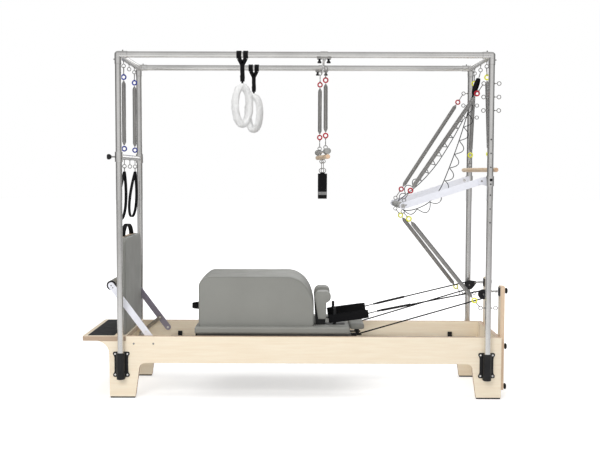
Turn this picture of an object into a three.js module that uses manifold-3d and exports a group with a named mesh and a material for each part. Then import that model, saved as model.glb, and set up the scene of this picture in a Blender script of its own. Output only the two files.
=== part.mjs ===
// A pilates tower over a wooden reformer bed: frame, carriage, bars, springs, straps and ropes.
// Millimetres, +Z up, +X to the pulley end, -Y to the front. The origin is on the floor, under the middle.
import * as THREE from "three";
import { mergeVertices } from "three/addons/utils/BufferGeometryUtils.js";
import Module from "manifold-3d";

const wasm = await Module();
wasm.setup();

// Clearances and fineness
const gap = 0.3;
const runningGap = 0.5;
const hangGap = 0.4;
const pinGap = 0.3;
const overrun = 5;
const weld = 0.001;
const tubeSides = 8;
const rodSides = 6;
const boreSides = 8;
const smallSides = 4;

// Tower frame
const postSpan = 2282;
const postDepth = 700;
const tubeRadius = 19;
const tubeWall = 2;
const topTubeHeight = 2131;
const postFoot = 129;
const sleeveWall = 2;
const sleeveReach = 58;
const setScrewRadius = 4;
const setScrewLength = 8;

// Post brackets on the side panels
const bracketWidth = 104;
const bracketLow = 134;
const bracketHigh = 293;
const bracketPlate = 5;
const bracketWaist = 9;
const bracketCorner = 20;
const socketWall = 6;
const socketFloor = 5;
const socketHigh = 289;
const screwRadius = 5.5;
const screwHead = 2;
const screwInset = 14;
const grubRadius = 4;
const grubLength = 7;
const grubRise = 34;

// Bed of two side panels on legs
const bedWidth = 650;
const bedTop = 389;
const bedBottom = 221;
const panelThickness = 32;
const footHeight = 9;
const footInset = 3;
const leftLegOuter = -1218;
const leftLegInner = -1031;
const leftFootInner = -1055;
const rightLegOuter = 1234;
const rightLegInner = 1055;
const rightFootInner = 1078;
const innerArc = 45;
const shelfTip = -1286;
const shelfArcHeight = 88;
const railTop = 285;
const railThickness = 18;
const railWidth = 40;
const railStart = -920;
const railEnd = 1190;
const stopLeft = -857;
const stopRight = 1010;
const stopLength = 28;
const stopHeight = 32;
const barPlateStart = -1072;
const barPlateEnd = -915;
const barPlateLow = 318;
const barPlateHigh = 362;
const barPlateThickness = 2.5;
const boltHeadRadius = 6;
const boltHeadHeight = 2;

// Standing platform, its end board and grip
const platformLeft = -1386;
const platformRight = -1113;
const platformTop = 390;
const platformThickness = 31;
const platformCorner = 18;
const endBoardLeft = -1185;
const endBoardThickness = 30;
const gripLeft = -1356;
const gripRight = -1190;
const gripWidth = 600;
const gripThickness = 2;

// Head end board
const headBoardLeft = 1204;
const headBoardLow = 25;
const slotWidth = 10;
const slotUp = 58;
const slotDown = 22;

// Spring bar under the carriage
const springBarPlace = -905;
const springBarRadius = 10;

// Foot bar
const barPivotX = -941;
const barPivotZ = 343;
const barEndX = -1209;
const barEndZ = 703.5;
const armWidth = 40;
const armThickness = 7;
const armClearance = 4;
const pivotPinRadius = 6;
const footRollRadius = 30;
const footRollCore = 12;
const endCap = 6;
const strutAlong = 88;
const strutWidth = 24;
const strutThickness = 6;
const strutFootX = -1127;
const strutFootZ = 302;
const strutRodRadius = 8;

// Jump board
const boardLeft = -1177;
const boardThickness = 30;
const boardPad = 27;
const boardHalfWidth = 273;
const boardTop = 1000;
const boardCorner = 70;
const boardPinRadius = 5;
const boardPinDepth = 20;
const boardPinY = 200;
const boardHandleSpan = 140;
const boardHandleRise = 76;
const strapWidth = 30;
const strapThickness = 4;

// Carriage
const carriageLeft = -690;
const carriageRight = 291;
const padHalfWidth = 275;
const padBottom = 397.5;
const padThickness = 43;
const padRound = 12;
const frameHalfWidth = 246;
const frameThickness = 42;
const frameBeam = 50;
const frameLeft = -676;
const frameRight = 300;
const wheelRadius = 28;
const wheelWidth = 20;
const wheelLeftX = -560;
const wheelRightX = 180;
const axleRadius = 6;
const axleHousing = 18;
const axleHousingY = 226;
const bumperLength = 14;
const bumperSpan = 200;
const bumperWidth = 40;
const anchorLength = 36;
const anchorHeight = 20;
const anchorY = 210;
const carriageSpringRadius = 11;
const carriageSpringRise = 20;
const carriageSpringSpacing = 80;
const carriageSpringLead = 22;
const springPlate = 12;

// Headrest
const headrestLeft = 296.5;
const headrestRight = 391;
const headrestHalfWidth = 125;
const headrestThickness = 38;
const headrestRound = 16;
const headrestCrown = 1.5;
const bracketArm = 80;
const bracketArmWidth = 18;
const bracketArmThickness = 8;

// Shoulder rests
const restY = 130;
const restHalfWidth = 60;
const restLow = 478;
const restHigh = 655;
const restBaseLeft = 92;
const restBaseRight = 142;
const restTopLeft = 68;
const restRollRadius = 34;
const restRollX = 138;
const restCorner = 45;
const restBevel = 7;
const restPlate = 4;
const restPlateHalfWidth = 28;
const restPlateRight = 262;
const pegX = 197;
const pegTop = 548;
const pegRadius = 9.5;

// Sitting box
const boxLeft = -668;
const boxRight = 62;
const boxHalfWidth = 229;
const boxHeight = 315;
const boxLeftCorner = 68;
const boxRightCornerX = 168;
const boxRightCornerZ = 205;
const boxFootCorner = 10;
const boxEdge = 5;
const boxCrown = 6;
const boxHandleRise = 98;
const boxHandleReach = 66;
const boxHandleSpan = 65;

// Risers with pulleys
const riserY = 240;
const riserWidth = 70;
const riserThickness = 27;
const riserLow = 46;
const riserTop = 704;
const knobRadius = 18;
const knobDepth = 22;
const knobNeck = 9;
const knobRimShare = 0.6;
const knobTopShare = 0.7;
const topKnobDrop = 31;
const midKnobHeight = 320;
const lowKnobHeight = 64;
const knobBoltRadius = 4;
const knobBoltReach = 24;
const riserPlateHeight = 54;
const riserPlateWidth = 40;
const riserPlateThickness = 6;
const pulleySetback = 103.3;
const pulleyDrop = 54;
const pulleyRadius = 27;
const pulleyGroove = 6.5;
const pulleyWidth = 13;
const grooveMouthShare = 0.85;
const grooveFloorShare = 0.5;
const pulleyAxle = 5;
const cheekThickness = 3;
const cheekRadius = 31;
const swivelSetback = 63.3;
const swivelRadius = 5.8;
const swivelEnd = 9.5;
const riserCoilRadius = 12;
const riserCoilEndRadius = 7;
const swivelRingRadius = 8;
const swivelWire = 2;

// Ropes and their handles
const ropeRadius = 3;
const ropeTurnRadius = 24.5;
const ropeAnchorX = 337;
const ropeSleeveRadius = 5;
const ropeSleeveShare = 0.3;
const ferruleX = 492;
const ferruleZ = 533;
const ferruleRadius = 7;
const ferruleLength = 24;
const handleRightX = 412;
const handleRightZ = 511;
const handleLeftX = 160;
const handleLeftZ = 476;
const handleHalfWidth = 19;
const handleY = 158;
const handleThickness = 4;
const handleStrapWidth = 50;

// Push-through bar and its clamps on the right posts
const pushPivotSetback = 43;
const pushPivotZ = 1364;
const pushReach = 485;
const pushEndZ = 1208;
const pushArmY = 298;
const pushArmWidth = 42;
const pushArmThickness = 8;
const pushBarRadius = 14;
const pushGripRadius = 20;
const pushGripHalf = 190;
const pushPinRadius = 7;
const clampWall = 5;
const clampHeight = 62;
const clampEar = 8;
const clampEarWidth = 44;
const pushEyeY = 235;
const pushEyeSpread = 26;
const adjustHoleRadius = 4.5;
const adjustHoleSpacing = 85;
const adjustHolesUp = 3;
const adjustHolesDown = 3;

// Eyebolts
const eyeRadius = 11.5;
const eyeWire = 2.5;
const eyeDrop = 50;
const postEyeReach = 47;
const postEyeTopDrop = 171;
const postEyeSpacing = 82;
const postEyesHigh = 3;
const lowPostEyeHeight = 579;
const leftEyeInset = 170;
const rightEyeInset = 150;

// Springs with coloured rings
const springRingRadius = 14;
const springRingWire = 3.6;
const springWire = 2.6;
const springRadius = 12;
const springCurls = 2.5;
const hookWire = 2.2;
const hookHalfWidth = 5.5;
const springTail = 26;
const blueHook = 70;
const blueClearance = 54;
const yellowHook = 68;
const rollBarHeight = 1434;
const redHook = 72;
const lowYellowHook = 60;
const trapezeHook = 74;

// Roll-down bar
const rollBarRadius = 14;
const rollBarHalf = 312;
const rollBarSkewX = 46;
const rollEyeY = 185;

// Sliding bar on the left posts
const leftBarHeight = 1507;
const leftBarRadius = 16;
const leftBarEyeDrop = 57;
const collarHeight = 62;
const collarWall = 5;
const pinLength = 22;
const pinRadius = 5;
const pinKnobRadius = 17;
const pinKnobLength = 26;
const loopLink = 34;
const loopClearance = 112;
const loopHalfWidth = 38;
const loopShift = 25;
const loopWidth = 26;
const loopThickness = 4;
const loopTurnShare = 0.28;

// Trapeze on its sliding cross bar
const trapezeX = 118;
const sliderBarRadius = 9;
const sliderDrop = 34;
const sliderPlateLength = 88;
const sliderPlateWidth = 44;
const sliderPlateThickness = 5;
const sliderSleeveLength = 44;
const sliderKnobSpread = 28;
const sliderKnobRadius = 13;
const sliderKnobHeight = 22;
const washerRadius = 13;
const washerThickness = 4;
const trapezeEyeY = 150;
const trapezeSkewX = 15;
const trapezeEyeDrop = 16;
const gripBarDrop = 582;
const gripBarRadius = 8;
const gripRadius = 19;
const gripLength = 100;
const woodBarDrop = 35;
const woodBarRadius = 14.5;
const trapezeHalf = 280;
const trapezeLowerEyeDrop = 27;
const slingDrop = 79;
const slingHeight = 162;
const slingHalfSpan = 52;
const slingWidth = 58;
const slingThickness = 6;
const slingRingRadius = 15;
const slingHook = 60;

// Fleece loops hung from the top tubes
const frontFleeceX = -381;
const backFleeceX = -350;
const fleeceDrop = 309;
const fleeceHalfWidth = 46;
const fleeceHalfHeight = 114;
const fleeceTube = 23;
const fleeceDepth = 36;
const wrapSpread = 20.5;
const wrapWidth = 30;
const wrapWall = 3;
const fleeceStrapDrop = 62;
const fleeceStrapLength = 98;
const fleeceStrapWidth = 27;

// Curly cords between the right end and the push-through bar
const cordWire = 2.6;
const curlWire = 2;
const curlRadius = 20;
const curlClear = 6;
const curlCount = 9;
const coreSteps = 9;
const cordStrapDrop = 104;
const cordLoopLength = 104;
const cordLoopHalf = 17;
const cordLoopWidth = 22;

const postX = postSpan / 2;
const postY = postDepth / 2;
const bedY = bedWidth / 2;
const bedInner = bedY - panelThickness;
const riserLeft = rightLegOuter + gap;
const riserRight = riserLeft + riserThickness;
const overallMiddle = (platformLeft + riserRight + knobDepth) / 2;
const padTop = padBottom + padThickness;
const leftEyeY = postY - leftEyeInset;
const rightEyeY = postY - rightEyeInset;
const topPostEyeZ = topTubeHeight - postEyeTopDrop;
const pushPivotX = postX - pushPivotSetback;
const pushEndX = pushPivotX - pushReach;
const pulleyX = riserLeft - pulleySetback;
const swivelX = riserLeft - swivelSetback;
const topKnobHeight = riserTop - topKnobDrop;
const pulleyZ = riserTop - pulleyDrop;
const gripBarZ = topTubeHeight - gripBarDrop;
const woodBarZ = gripBarZ - woodBarDrop;
const trapezeLowerEye = woodBarZ - trapezeLowerEyeDrop;
const slingTop = trapezeLowerEye - slingDrop;
const slingBottom = slingTop - slingHeight;
const fleeceCentreZ = topTubeHeight - fleeceDrop;
const fleeceStrapTop = topTubeHeight - fleeceStrapDrop;
const fleeceStrapBottom = fleeceStrapTop - fleeceStrapLength;
const loopBottom = boardTop + loopClearance;
const springBarZ = railTop - railThickness - springBarRadius - gap;
const carriageSpringZ = springBarZ + carriageSpringRise;
const v = (x, y, z) => new THREE.Vector3(x, y, z);

// Materials, by their looks
const paint = (color, roughness,
  metalness) => new THREE.MeshStandardMaterial({ color, roughness, metalness });
const steel = paint("#c9c7c4", 0.25, 1);
const aluminium = paint("#dcdbe2", 0.4, 0.7);
const birch = paint("#efdcc0", 0.55, 0);
const dowelWood = paint("#e0bf98", 0.6, 0);
const upholstery = paint("#94948c", 0.6, 0);
const blackPlastic = paint("#1a1a1b", 0.45, 0);
const blackRubber = paint("#202021", 0.8, 0);
const webbing = paint("#171718", 0.85, 0);
const foam = paint("#8b8b88", 0.95, 0);
const fleece = paint("#f4f3f1", 1, 0);
const springGrey = paint("#8d8a86", 0.5, 0.6);

const tower = new THREE.Group();

// Turns a closed geometry into a solid, with its faces outward.
function solidOf(geometry) {
  const bare = geometry.index ? geometry.toNonIndexed() : geometry.clone();
  const points = new THREE.BufferGeometry().setAttribute("position", bare.getAttribute("position"));
  const merged = mergeVertices(points, weld);
  const faces = new Uint32Array(merged.index.array);
  const make = () =>
    new wasm.Manifold(
      new wasm.Mesh({ numProp: 3, vertProperties: merged.attributes.position.array, triVerts: faces }),
    );
  const first = make();
  if (first.volume() >= 0) return first;
  for (let i = 0; i < faces.length; i += 3) [faces[i], faces[i + 1]] = [faces[i + 1], faces[i]];
  return make();
}

function join(...solids) {
  return solids.reduce((a, b) => a.add(b));
}

function cut(solid, ...tools) {
  return tools.reduce((a, b) => a.subtract(b), solid);
}

// Adds a solid to the tower as a named mesh.
function addNode(name, solid, material) {
  const mesh = solid.getMesh();
  const geometry = new THREE.BufferGeometry();
  geometry.setAttribute("position", new THREE.BufferAttribute(mesh.vertProperties, mesh.numProp));
  geometry.setIndex(new THREE.BufferAttribute(mesh.triVerts, 1));
  geometry.computeVertexNormals();
  const node = new THREE.Mesh(geometry, material);
  node.name = name;
  tower.add(node);
}

// A box between two corners, given in any order.
function block(a, b) {
  const box = new THREE.BoxGeometry(Math.abs(b.x - a.x), Math.abs(b.y - a.y), Math.abs(b.z - a.z));
  const middle = a.clone().add(b).multiplyScalar(0.5);
  return solidOf(box.translate(middle.x, middle.y, middle.z));
}

// A round rod between two points, or a cone when the end radius differs.
function rod(a, b, radius, sides = rodSides, endRadius = radius, turn = 0) {
  const along = b.clone().sub(a);
  const cylinder = new THREE.CylinderGeometry(endRadius, radius, along.length(), sides).rotateY(turn);
  cylinder.applyQuaternion(new THREE.Quaternion().setFromUnitVectors(v(0, 1, 0), along.normalize()));
  const middle = a.clone().add(b).multiplyScalar(0.5);
  return solidOf(cylinder.translate(middle.x, middle.y, middle.z));
}

// The bore for a round pin or tube: its flats clear the round one by the clearance, at any turn.
function boreFor(a, b, radius, clearance, sides = rodSides, turn = 0) {
  const reach = b.clone().sub(a).setLength(overrun);
  const corner = (radius + clearance) / Math.cos(Math.PI / sides);
  return rod(a.clone().sub(reach), b.clone().add(reach), corner, sides, corner, turn);
}

function tube(a, b, radius, wall) {
  const reach = b.clone().sub(a).setLength(overrun);
  const bore = rod(a.clone().sub(reach), b.clone().add(reach), radius - wall, boreSides);
  return cut(rod(a, b, radius, tubeSides), bore);
}

function ring(centre, axis, radius, wire, steps = 8, sides = 4) {
  const torus = new THREE.TorusGeometry(radius, wire, sides, steps);
  torus.applyQuaternion(new THREE.Quaternion().setFromUnitVectors(v(0, 0, 1), axis.clone().normalize()));
  return solidOf(torus.translate(centre.x, centre.y, centre.z));
}

// A plate with an outline in X and Z, between two values of Y.
function plateXZ(shape, y0, y1, curveSegments = 4) {
  const plate = new THREE.ExtrudeGeometry(shape,
    { depth: Math.abs(y1 - y0), bevelEnabled: false, curveSegments });
  return solidOf(plate.rotateX(Math.PI / 2).translate(0, Math.max(y0, y1), 0));
}

// A plate with an outline in Y and Z, between two values of X.
function plateYZ(shape, x0, x1, curveSegments = 6) {
  const plate = new THREE.ExtrudeGeometry(shape, { depth: x1 - x0, bevelEnabled: false, curveSegments });
  const turn = new THREE.Matrix4().makeBasis(v(0, 1, 0), v(0, 0, 1), v(1, 0, 0));
  return solidOf(plate.applyMatrix4(turn).translate(x0, 0, 0));
}

// A skin through rings of points that all have the same count, closed by fans or into a loop.
function loft(rings, looped = false) {
  const count = rings[0].length;
  const points = rings.flat();
  const faces = [];
  const last = looped ? rings.length : rings.length - 1;
  for (let i = 0; i < last; i++) {
    const here = i * count;
    const next = ((i + 1) % rings.length) * count;
    for (let j = 0; j < count; j++) {
      const k = (j + 1) % count;
      faces.push(here + j, here + k, next + k, here + j, next + k, next + j);
    }
  }
  if (!looped) {
    for (const end of [0, rings.length - 1]) {
      const centre = rings[end].reduce((sum, p) => sum.add(p), v(0, 0, 0)).divideScalar(count);
      const hub = points.push(centre) - 1;
      for (let j = 0; j < count; j++) {
        const pair = [end * count + j, end * count + ((j + 1) % count)];
        if (end === 0) pair.reverse();
        faces.push(hub, ...pair);
      }
    }
  }
  const geometry = new THREE.BufferGeometry().setFromPoints(points);
  geometry.setIndex(faces);
  return solidOf(geometry);
}

// A round cord along points, as an extruded section.
function cord(points, radius, steps, sides = rodSides) {
  const section = new THREE.Shape();
  for (let i = 0; i < sides; i++) {
    const angle = (2 * Math.PI * i) / sides;
    const corner = [radius * Math.cos(angle), radius * Math.sin(angle)];
    if (i === 0) section.moveTo(...corner);
    else section.lineTo(...corner);
  }
  const path = new THREE.CatmullRomCurve3(points, false, "centripetal");
  return solidOf(new THREE.ExtrudeGeometry(section, { steps, bevelEnabled: false, extrudePath: path }));
}

// A flat band along points in a plane; side is the direction of its width.
function band(points, side, width, thickness, looped = false) {
  const half = side.clone().setLength(width / 2);
  const rings = points.map((p, i) => {
    const before = points[looped ? (i + points.length - 1) % points.length : Math.max(i - 1, 0)];
    const after = points[looped ? (i + 1) % points.length : Math.min(i + 1, points.length - 1)];
    const out = after.clone().sub(before).cross(side).setLength(thickness / 2);
    return [
      p.clone().add(half).add(out),
      p.clone().sub(half).add(out),
      p.clone().sub(half).sub(out),
      p.clone().add(half).sub(out),
    ];
  });
  return loft(rings, looped);
}

// A cushion with round edges between two corners; its faces swell by the crown.
function cushion(a, b, round, crown) {
  const size = b.clone().sub(a);
  const grid = new THREE.BoxGeometry(2, 2, 2, 3, 3, 3);
  const place = grid.getAttribute("position");
  const half = size.clone().multiplyScalar(0.5);
  const middle = a.clone().add(half);
  const p = v(0, 0, 0);
  for (let i = 0; i < place.count; i++) {
    p.fromBufferAttribute(place, i);
    for (const axis of ["x", "y", "z"]) {
      if (Math.abs(p[axis]) < 1) p[axis] = Math.sign(p[axis]) * (1 - round / half[axis]);
    }
    const swell = v(crown.x * (1 - p.y * p.y) * (1 - p.z * p.z), 0, 0);
    swell.y = crown.y * (1 - p.x * p.x) * (1 - p.z * p.z);
    swell.z = crown.z * (1 - p.x * p.x) * (1 - p.y * p.y);
    const inside = half.clone().subScalar(round);
    const core = p.clone().multiply(half).clamp(inside.clone().negate(), inside);
    const away = p.clone().multiply(half).sub(core);
    if (away.lengthSq() > 0) away.setLength(round);
    core.add(away).add(swell.multiply(p));
    place.setXYZ(i, middle.x + core.x, middle.y + core.y, middle.z + core.z);
  }
  return solidOf(grid);
}

const gapsFound = [];

// The least distance from a wound wire to itself, measured on its points.
function noteLeastGap(points, wire, turn) {
  let least = Infinity;
  for (let i = 0; i < points.length; i++) {
    for (let j = i + turn; j < points.length; j++) least = Math.min(least, points[i].distanceTo(points[j]));
  }
  gapsFound.push(least - 2 * wire);
}

// Rings of a round wire along its centre points.
function wireRings(points, wire, sides = 5) {
  let across = v(0, 1, 0);
  return points.map((p, i) => {
    const before = points[Math.max(i - 1, 0)];
    const after = points[Math.min(i + 1, points.length - 1)];
    const along = after.clone().sub(before).normalize();
    if (Math.abs(across.dot(along)) > Math.SQRT1_2) across = v(1, 0, 0);
    across = across.clone().addScaledVector(along, -across.dot(along)).normalize();
    const third = along.clone().cross(across);
    return Array.from({ length: sides }, (_, j) => {
      const angle = (2 * Math.PI * j) / sides;
      return p
        .clone()
        .addScaledVector(across, wire * Math.cos(angle))
        .addScaledVector(third, wire * Math.sin(angle));
    });
  });
}

// Centre points of a coil about the local Z axis, with a straight tail at each end.
function coilPoints(length, radius, curls, wire) {
  const steps = 8;
  const points = [v(0, 0, 0), v(0, 0, 2 * wire)];
  const run = length - 4 * wire;
  const total = curls * steps;
  for (let i = 0; i <= total; i++) {
    const share = i / total;
    const ease = Math.min(1, i / (steps / 2), (total - i) / (steps / 2));
    const reach = ease * radius;
    const angle = (2 * Math.PI * i) / steps;
    if (i > 0 && i < total) points.push(v(reach * Math.cos(angle), reach * Math.sin(angle),
      2 * wire + run * share));
  }
  points.push(v(0, 0, length - 2 * wire), v(0, 0, length));
  return points;
}

// An oval hook link in the local YZ plane, from one height to another on the wire's centre line.
function hookLink(low, high) {
  const rings = [];
  const steps = 6;
  for (let i = 0; i < steps; i++) {
    const angle = (2 * Math.PI * (i + 0.5)) / steps;
    const straight = (high - low) / 2 - hookHalfWidth;
    const y = hookHalfWidth * Math.cos(angle);
    const z = (low + high) / 2 + Math.sign(Math.sin(angle)) * straight + hookHalfWidth * Math.sin(angle);
    rings.push(v(0, y, z));
  }
  const half = rings.map((p, i) => {
    const before = rings[(i + steps - 1) % steps];
    const after = rings[(i + 1) % steps];
    const along = after.clone().sub(before).normalize();
    const out = along.clone().cross(v(1, 0, 0));
    return Array.from({ length: 3 }, (_, j) => {
      const angle = (2 * Math.PI * j) / 3;
      return p
        .clone()
        .addScaledVector(out, hookWire * Math.cos(angle))
        .addScaledVector(v(1, 0, 0), hookWire * Math.sin(angle));
    });
  });
  return loft(half, true);
}

// Places a solid made along local Z from a start point towards an end point, its X kept in the XZ plane.
function lay(solid, start, end) {
  const z = end.clone().sub(start).normalize();
  const x = v(0, 1, 0).cross(z).normalize();
  const y = z.clone().cross(x);
  const m = new THREE.Matrix4().makeBasis(x, y, z).setPosition(start);
  return solid.transform(m.elements);
}

// A spring with a hook and a ring at each end, hung from one eye and reaching to another.
// Without a second eye it ends in its free ring.
function ringSpring(fromEye, toEye, hookLength, farHook) {
  const flat = toEye.clone().sub(fromEye).setY(0).setLength(eyeRadius);
  const hungFrom = fromEye.clone().add(flat);
  const hungTo = farHook > 0 ? toEye.clone().sub(flat) : toEye;
  const reach = hungTo.clone().sub(hungFrom).setLength(eyeRadius);
  const from = hungFrom.sub(reach);
  const to = farHook > 0 ? hungTo.add(reach) : hungTo;
  const length = to.clone().sub(from).length();
  const ringStart = hookLength;
  const ringEnd = length - farHook;
  const coilStart = ringStart + springRingRadius;
  const coilEnd = ringEnd - springRingRadius;
  const points = coilPoints(coilEnd - coilStart, springRadius, springCurls, springWire);
  for (const p of points) p.z += coilStart;
  noteLeastGap(points, springWire, 6);
  const pieces = [
    hookLink(catchStart, ringStart - springRingRadius),
    ring(v(0, 0, ringStart), v(0, 1, 0), springRingRadius, springRingWire, 7, 3),
    loft(wireRings(points, springWire)),
    ring(v(0, 0, ringEnd), v(0, 1, 0), springRingRadius, springRingWire, 7, 3),
  ];
  if (farHook > 0) pieces.push(hookLink(ringEnd + springRingRadius, length - catchStart));
  return lay(join(...pieces), from, to);
}

const catchStart = eyeRadius * Math.cos(Math.PI / 6) - eyeWire / 2 - hookWire - hangGap;

// The ring of an eye, in the XZ plane, with corners at its top and its foot.
function eyeRing(centre) {
  const torus = new THREE.TorusGeometry(eyeRadius, eyeWire, 3, 6).rotateZ(Math.PI / 2).rotateX(Math.PI / 2);
  return solidOf(torus.translate(centre.x, centre.y, centre.z));
}

// An eye on a shank that starts inside its carrier; the eye's plane is XZ.
function eyebolt(root, centre) {
  const towards = centre.clone().sub(root).normalize();
  return join(
    rod(root, centre.clone().addScaledVector(towards, -eyeRadius), eyeWire, 3),
    eyeRing(centre),
  );
}

// A mushroom knob on a face, pointing along a direction.
function knob(face, direction, radius, depth, neck) {
  const profile = [
    [0, 0],
    [neck, 0],
    [radius, depth * knobRimShare],
    [radius * knobTopShare, depth],
    [0, depth],
  ].map(([r, h]) => new THREE.Vector2(r, h));
  const turned = new THREE.LatheGeometry(profile, 8);
  turned.applyQuaternion(new THREE.Quaternion().setFromUnitVectors(v(0, 1, 0), direction));
  return solidOf(turned.translate(face.x, face.y, face.z));
}

const sides = [
  { name: "front", s: -1 },
  { name: "back", s: 1 },
];
const ends = [
  { name: "left", e: -1 },
  { name: "right", e: 1 },
];

// The side panel's outline, with its shelf for the platform, its legs and its inner corner arcs.
function panelOutline() {
  const shelf = platformTop - platformThickness - gap;
  const outline = new THREE.Shape();
  outline.moveTo(shelfTip, shelf);
  outline.lineTo(platformRight + gap, shelf);
  outline.lineTo(platformRight + gap, bedTop);
  outline.lineTo(rightLegOuter, bedTop);
  outline.lineTo(rightLegOuter, footHeight);
  outline.lineTo(rightFootInner, footHeight);
  outline.lineTo(rightLegInner, bedBottom - innerArc);
  outline.quadraticCurveTo(rightLegInner, bedBottom, rightLegInner - innerArc, bedBottom);
  outline.lineTo(leftLegInner + innerArc, bedBottom);
  outline.quadraticCurveTo(leftLegInner, bedBottom, leftLegInner, bedBottom - innerArc);
  outline.lineTo(leftFootInner, footHeight);
  outline.lineTo(leftLegOuter + footInset, footHeight);
  outline.lineTo(leftLegOuter, shelf - shelfArcHeight);
  outline.quadraticCurveTo(leftLegOuter, shelf - (leftLegOuter - shelfTip) / 4, shelfTip, shelf);
  return outline;
}

for (const { name, s } of sides) {
  const inner = s * bedInner;
  const outer = s * bedY;
  const pieces = [plateXZ(panelOutline(), inner, outer, 3)];
  const feet = [
    [leftLegOuter + 2 * footInset, leftFootInner - footInset],
    [rightFootInner + footInset, rightLegOuter - footInset],
  ];
  for (const [x0, x1] of feet) {
    const inset = s * footInset;
    pieces.push(block(v(x0, inner + inset, 0), v(x1, outer - inset, footHeight + footInset)));
  }
  const railInner = inner - s * railWidth;
  pieces.push(block(v(railStart, railInner, railTop - railThickness),
    v(railEnd, inner + s * footInset, railTop)));
  for (const x of [stopLeft, stopRight]) {
    const half = stopLength / 2;
    const low = railTop - railThickness / 2;
    pieces.push(block(v(x - half, inner - s * half, low),
      v(x + half, inner + s * footInset, railTop + stopHeight)));
  }
  const plateFace = inner - s * barPlateThickness;
  pieces.push(block(v(barPlateStart, plateFace, barPlateLow),
    v(barPlateEnd, inner + s * footInset, barPlateHigh)));
  const pinEnd = plateFace - s * (armThickness + armClearance + gap);
  pieces.push(rod(v(barPivotX, inner, barPivotZ), v(barPivotX, pinEnd, barPivotZ), pivotPinRadius));
  for (const x of [barPivotX, (barPlateStart + leftFootInner) / 2]) {
    const head = outer + s * boltHeadHeight;
    pieces.push(rod(v(x, outer - s * footInset, barPivotZ), v(x, head, barPivotZ), boltHeadRadius));
  }
  addNode(`${name}_side_panel`, join(...pieces), birch);
}

// Standing platform: ply board with round corners, its end board below and the grip on top.
{
  const board = new THREE.Shape();
  const c = platformCorner;
  board.moveTo(platformRight, -bedY);
  board.lineTo(platformRight, bedY);
  board.lineTo(platformLeft + c, bedY);
  board.quadraticCurveTo(platformLeft, bedY, platformLeft, bedY - c);
  board.lineTo(platformLeft, -bedY + c);
  board.quadraticCurveTo(platformLeft, -bedY, platformLeft + c, -bedY);
  const low = platformTop - platformThickness;
  const slab = new THREE.ExtrudeGeometry(board,
    { depth: platformThickness, bevelEnabled: false, curveSegments: 4 });
  const endY = bedInner - gap;
  const endRight = endBoardLeft + endBoardThickness;
  const grip = [v(gripLeft, -gripWidth / 2, platformTop - overrun),
    v(gripRight, gripWidth / 2, platformTop + gripThickness)];
  const pins = [-1, 1].map((s) => {
    const x = boardLeft + boardThickness / 2;
    const y = s * boardPinY;
    return rod(v(x, y, platformTop - boardPinDepth - gap), v(x, y, platformTop + overrun),
      boardPinRadius + runningGap);
  });
  const solid = join(
    solidOf(slab.translate(0, 0, low)),
    block(v(endBoardLeft, -endY, bedBottom), v(endRight, endY, low + overrun)),
    block(...grip),
  );
  addNode("standing_platform", cut(solid, ...pins), birch);
}

// Head end board with a slot for each riser bolt.
{
  const y = bedInner - gap;
  const slots = [];
  for (const { s } of sides) {
    for (const z of [midKnobHeight, lowKnobHeight]) {
      const low = Math.max(z - slotDown, headBoardLow + overrun);
      slots.push(
        block(
          v(headBoardLeft - overrun, s * riserY - slotWidth / 2, low),
          v(rightLegOuter + overrun, s * riserY + slotWidth / 2, z + slotUp),
        ),
      );
    }
  }
  const board = block(v(headBoardLeft, -y, headBoardLow), v(rightLegOuter, y, bedTop));
  addNode("head_end_board", cut(board, ...slots), birch);
}

// Spring bar, held between the side panels under the rails, with a hook for each carriage spring.
{
  const z = springBarZ;
  const y = bedInner - gap;
  const pieces = [rod(v(springBarPlace, -y, z), v(springBarPlace, y, z), springBarRadius, 10)];
  for (let i = -2; i <= 2; i++) {
    const hookY = i * carriageSpringSpacing;
    const hookTop = carriageSpringZ + 2 * hookWire;
    pieces.push(rod(v(springBarPlace, hookY, z), v(springBarPlace, hookY, hookTop), hookWire, smallSides));
  }
  addNode("spring_bar", join(...pieces), steel);
}

// Posts. The right pair carries through eyebolts, adjustment holes and the clamps of the push-through bar.
function rightPostParts(s) {
  const y = s * postY;
  const parts = [];
  const heights = [lowPostEyeHeight];
  for (let i = 0; i < postEyesHigh; i++) heights.push(topPostEyeZ - i * postEyeSpacing);
  for (const z of heights) {
    const left = v(postX - postEyeReach, y, z);
    const right = v(postX + postEyeReach, y, z);
    const root = tubeRadius - tubeWall / 2;
    parts.push(eyebolt(v(postX - root, y, z), left), eyebolt(v(postX + root, y, z), right));
  }
  const low = pushPivotZ - clampHeight / 2;
  const high = pushPivotZ + clampHeight / 2;
  const earInner = s * (pushArmY + pushArmThickness / 2 + armClearance);
  const ear = new THREE.Shape();
  ear.moveTo(postX, low);
  ear.lineTo(postX, high);
  ear.lineTo(pushPivotX, pushPivotZ + clampEarWidth / 2);
  ear.quadraticCurveTo(pushPivotX - clampEarWidth / 2, pushPivotZ + clampEarWidth / 2,
    pushPivotX - clampEarWidth / 2, pushPivotZ);
  ear.quadraticCurveTo(pushPivotX - clampEarWidth / 2, pushPivotZ - clampEarWidth / 2, pushPivotX,
    pushPivotZ - clampEarWidth / 2);
  const pinEnd = s * (pushArmY - pushArmThickness);
  const clampRadius = tubeRadius + clampWall;
  parts.push(
    rod(v(postX, y, low), v(postX, y, high), clampRadius, tubeSides),
    block(v(postX - clampWall, earInner, low), v(postX + clampWall, y, high)),
    plateXZ(ear, earInner, earInner + s * clampEar, 2),
    rod(v(pushPivotX, earInner, pushPivotZ), v(pushPivotX, pinEnd, pushPivotZ), pushPinRadius),
  );
  return parts;
}

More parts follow.
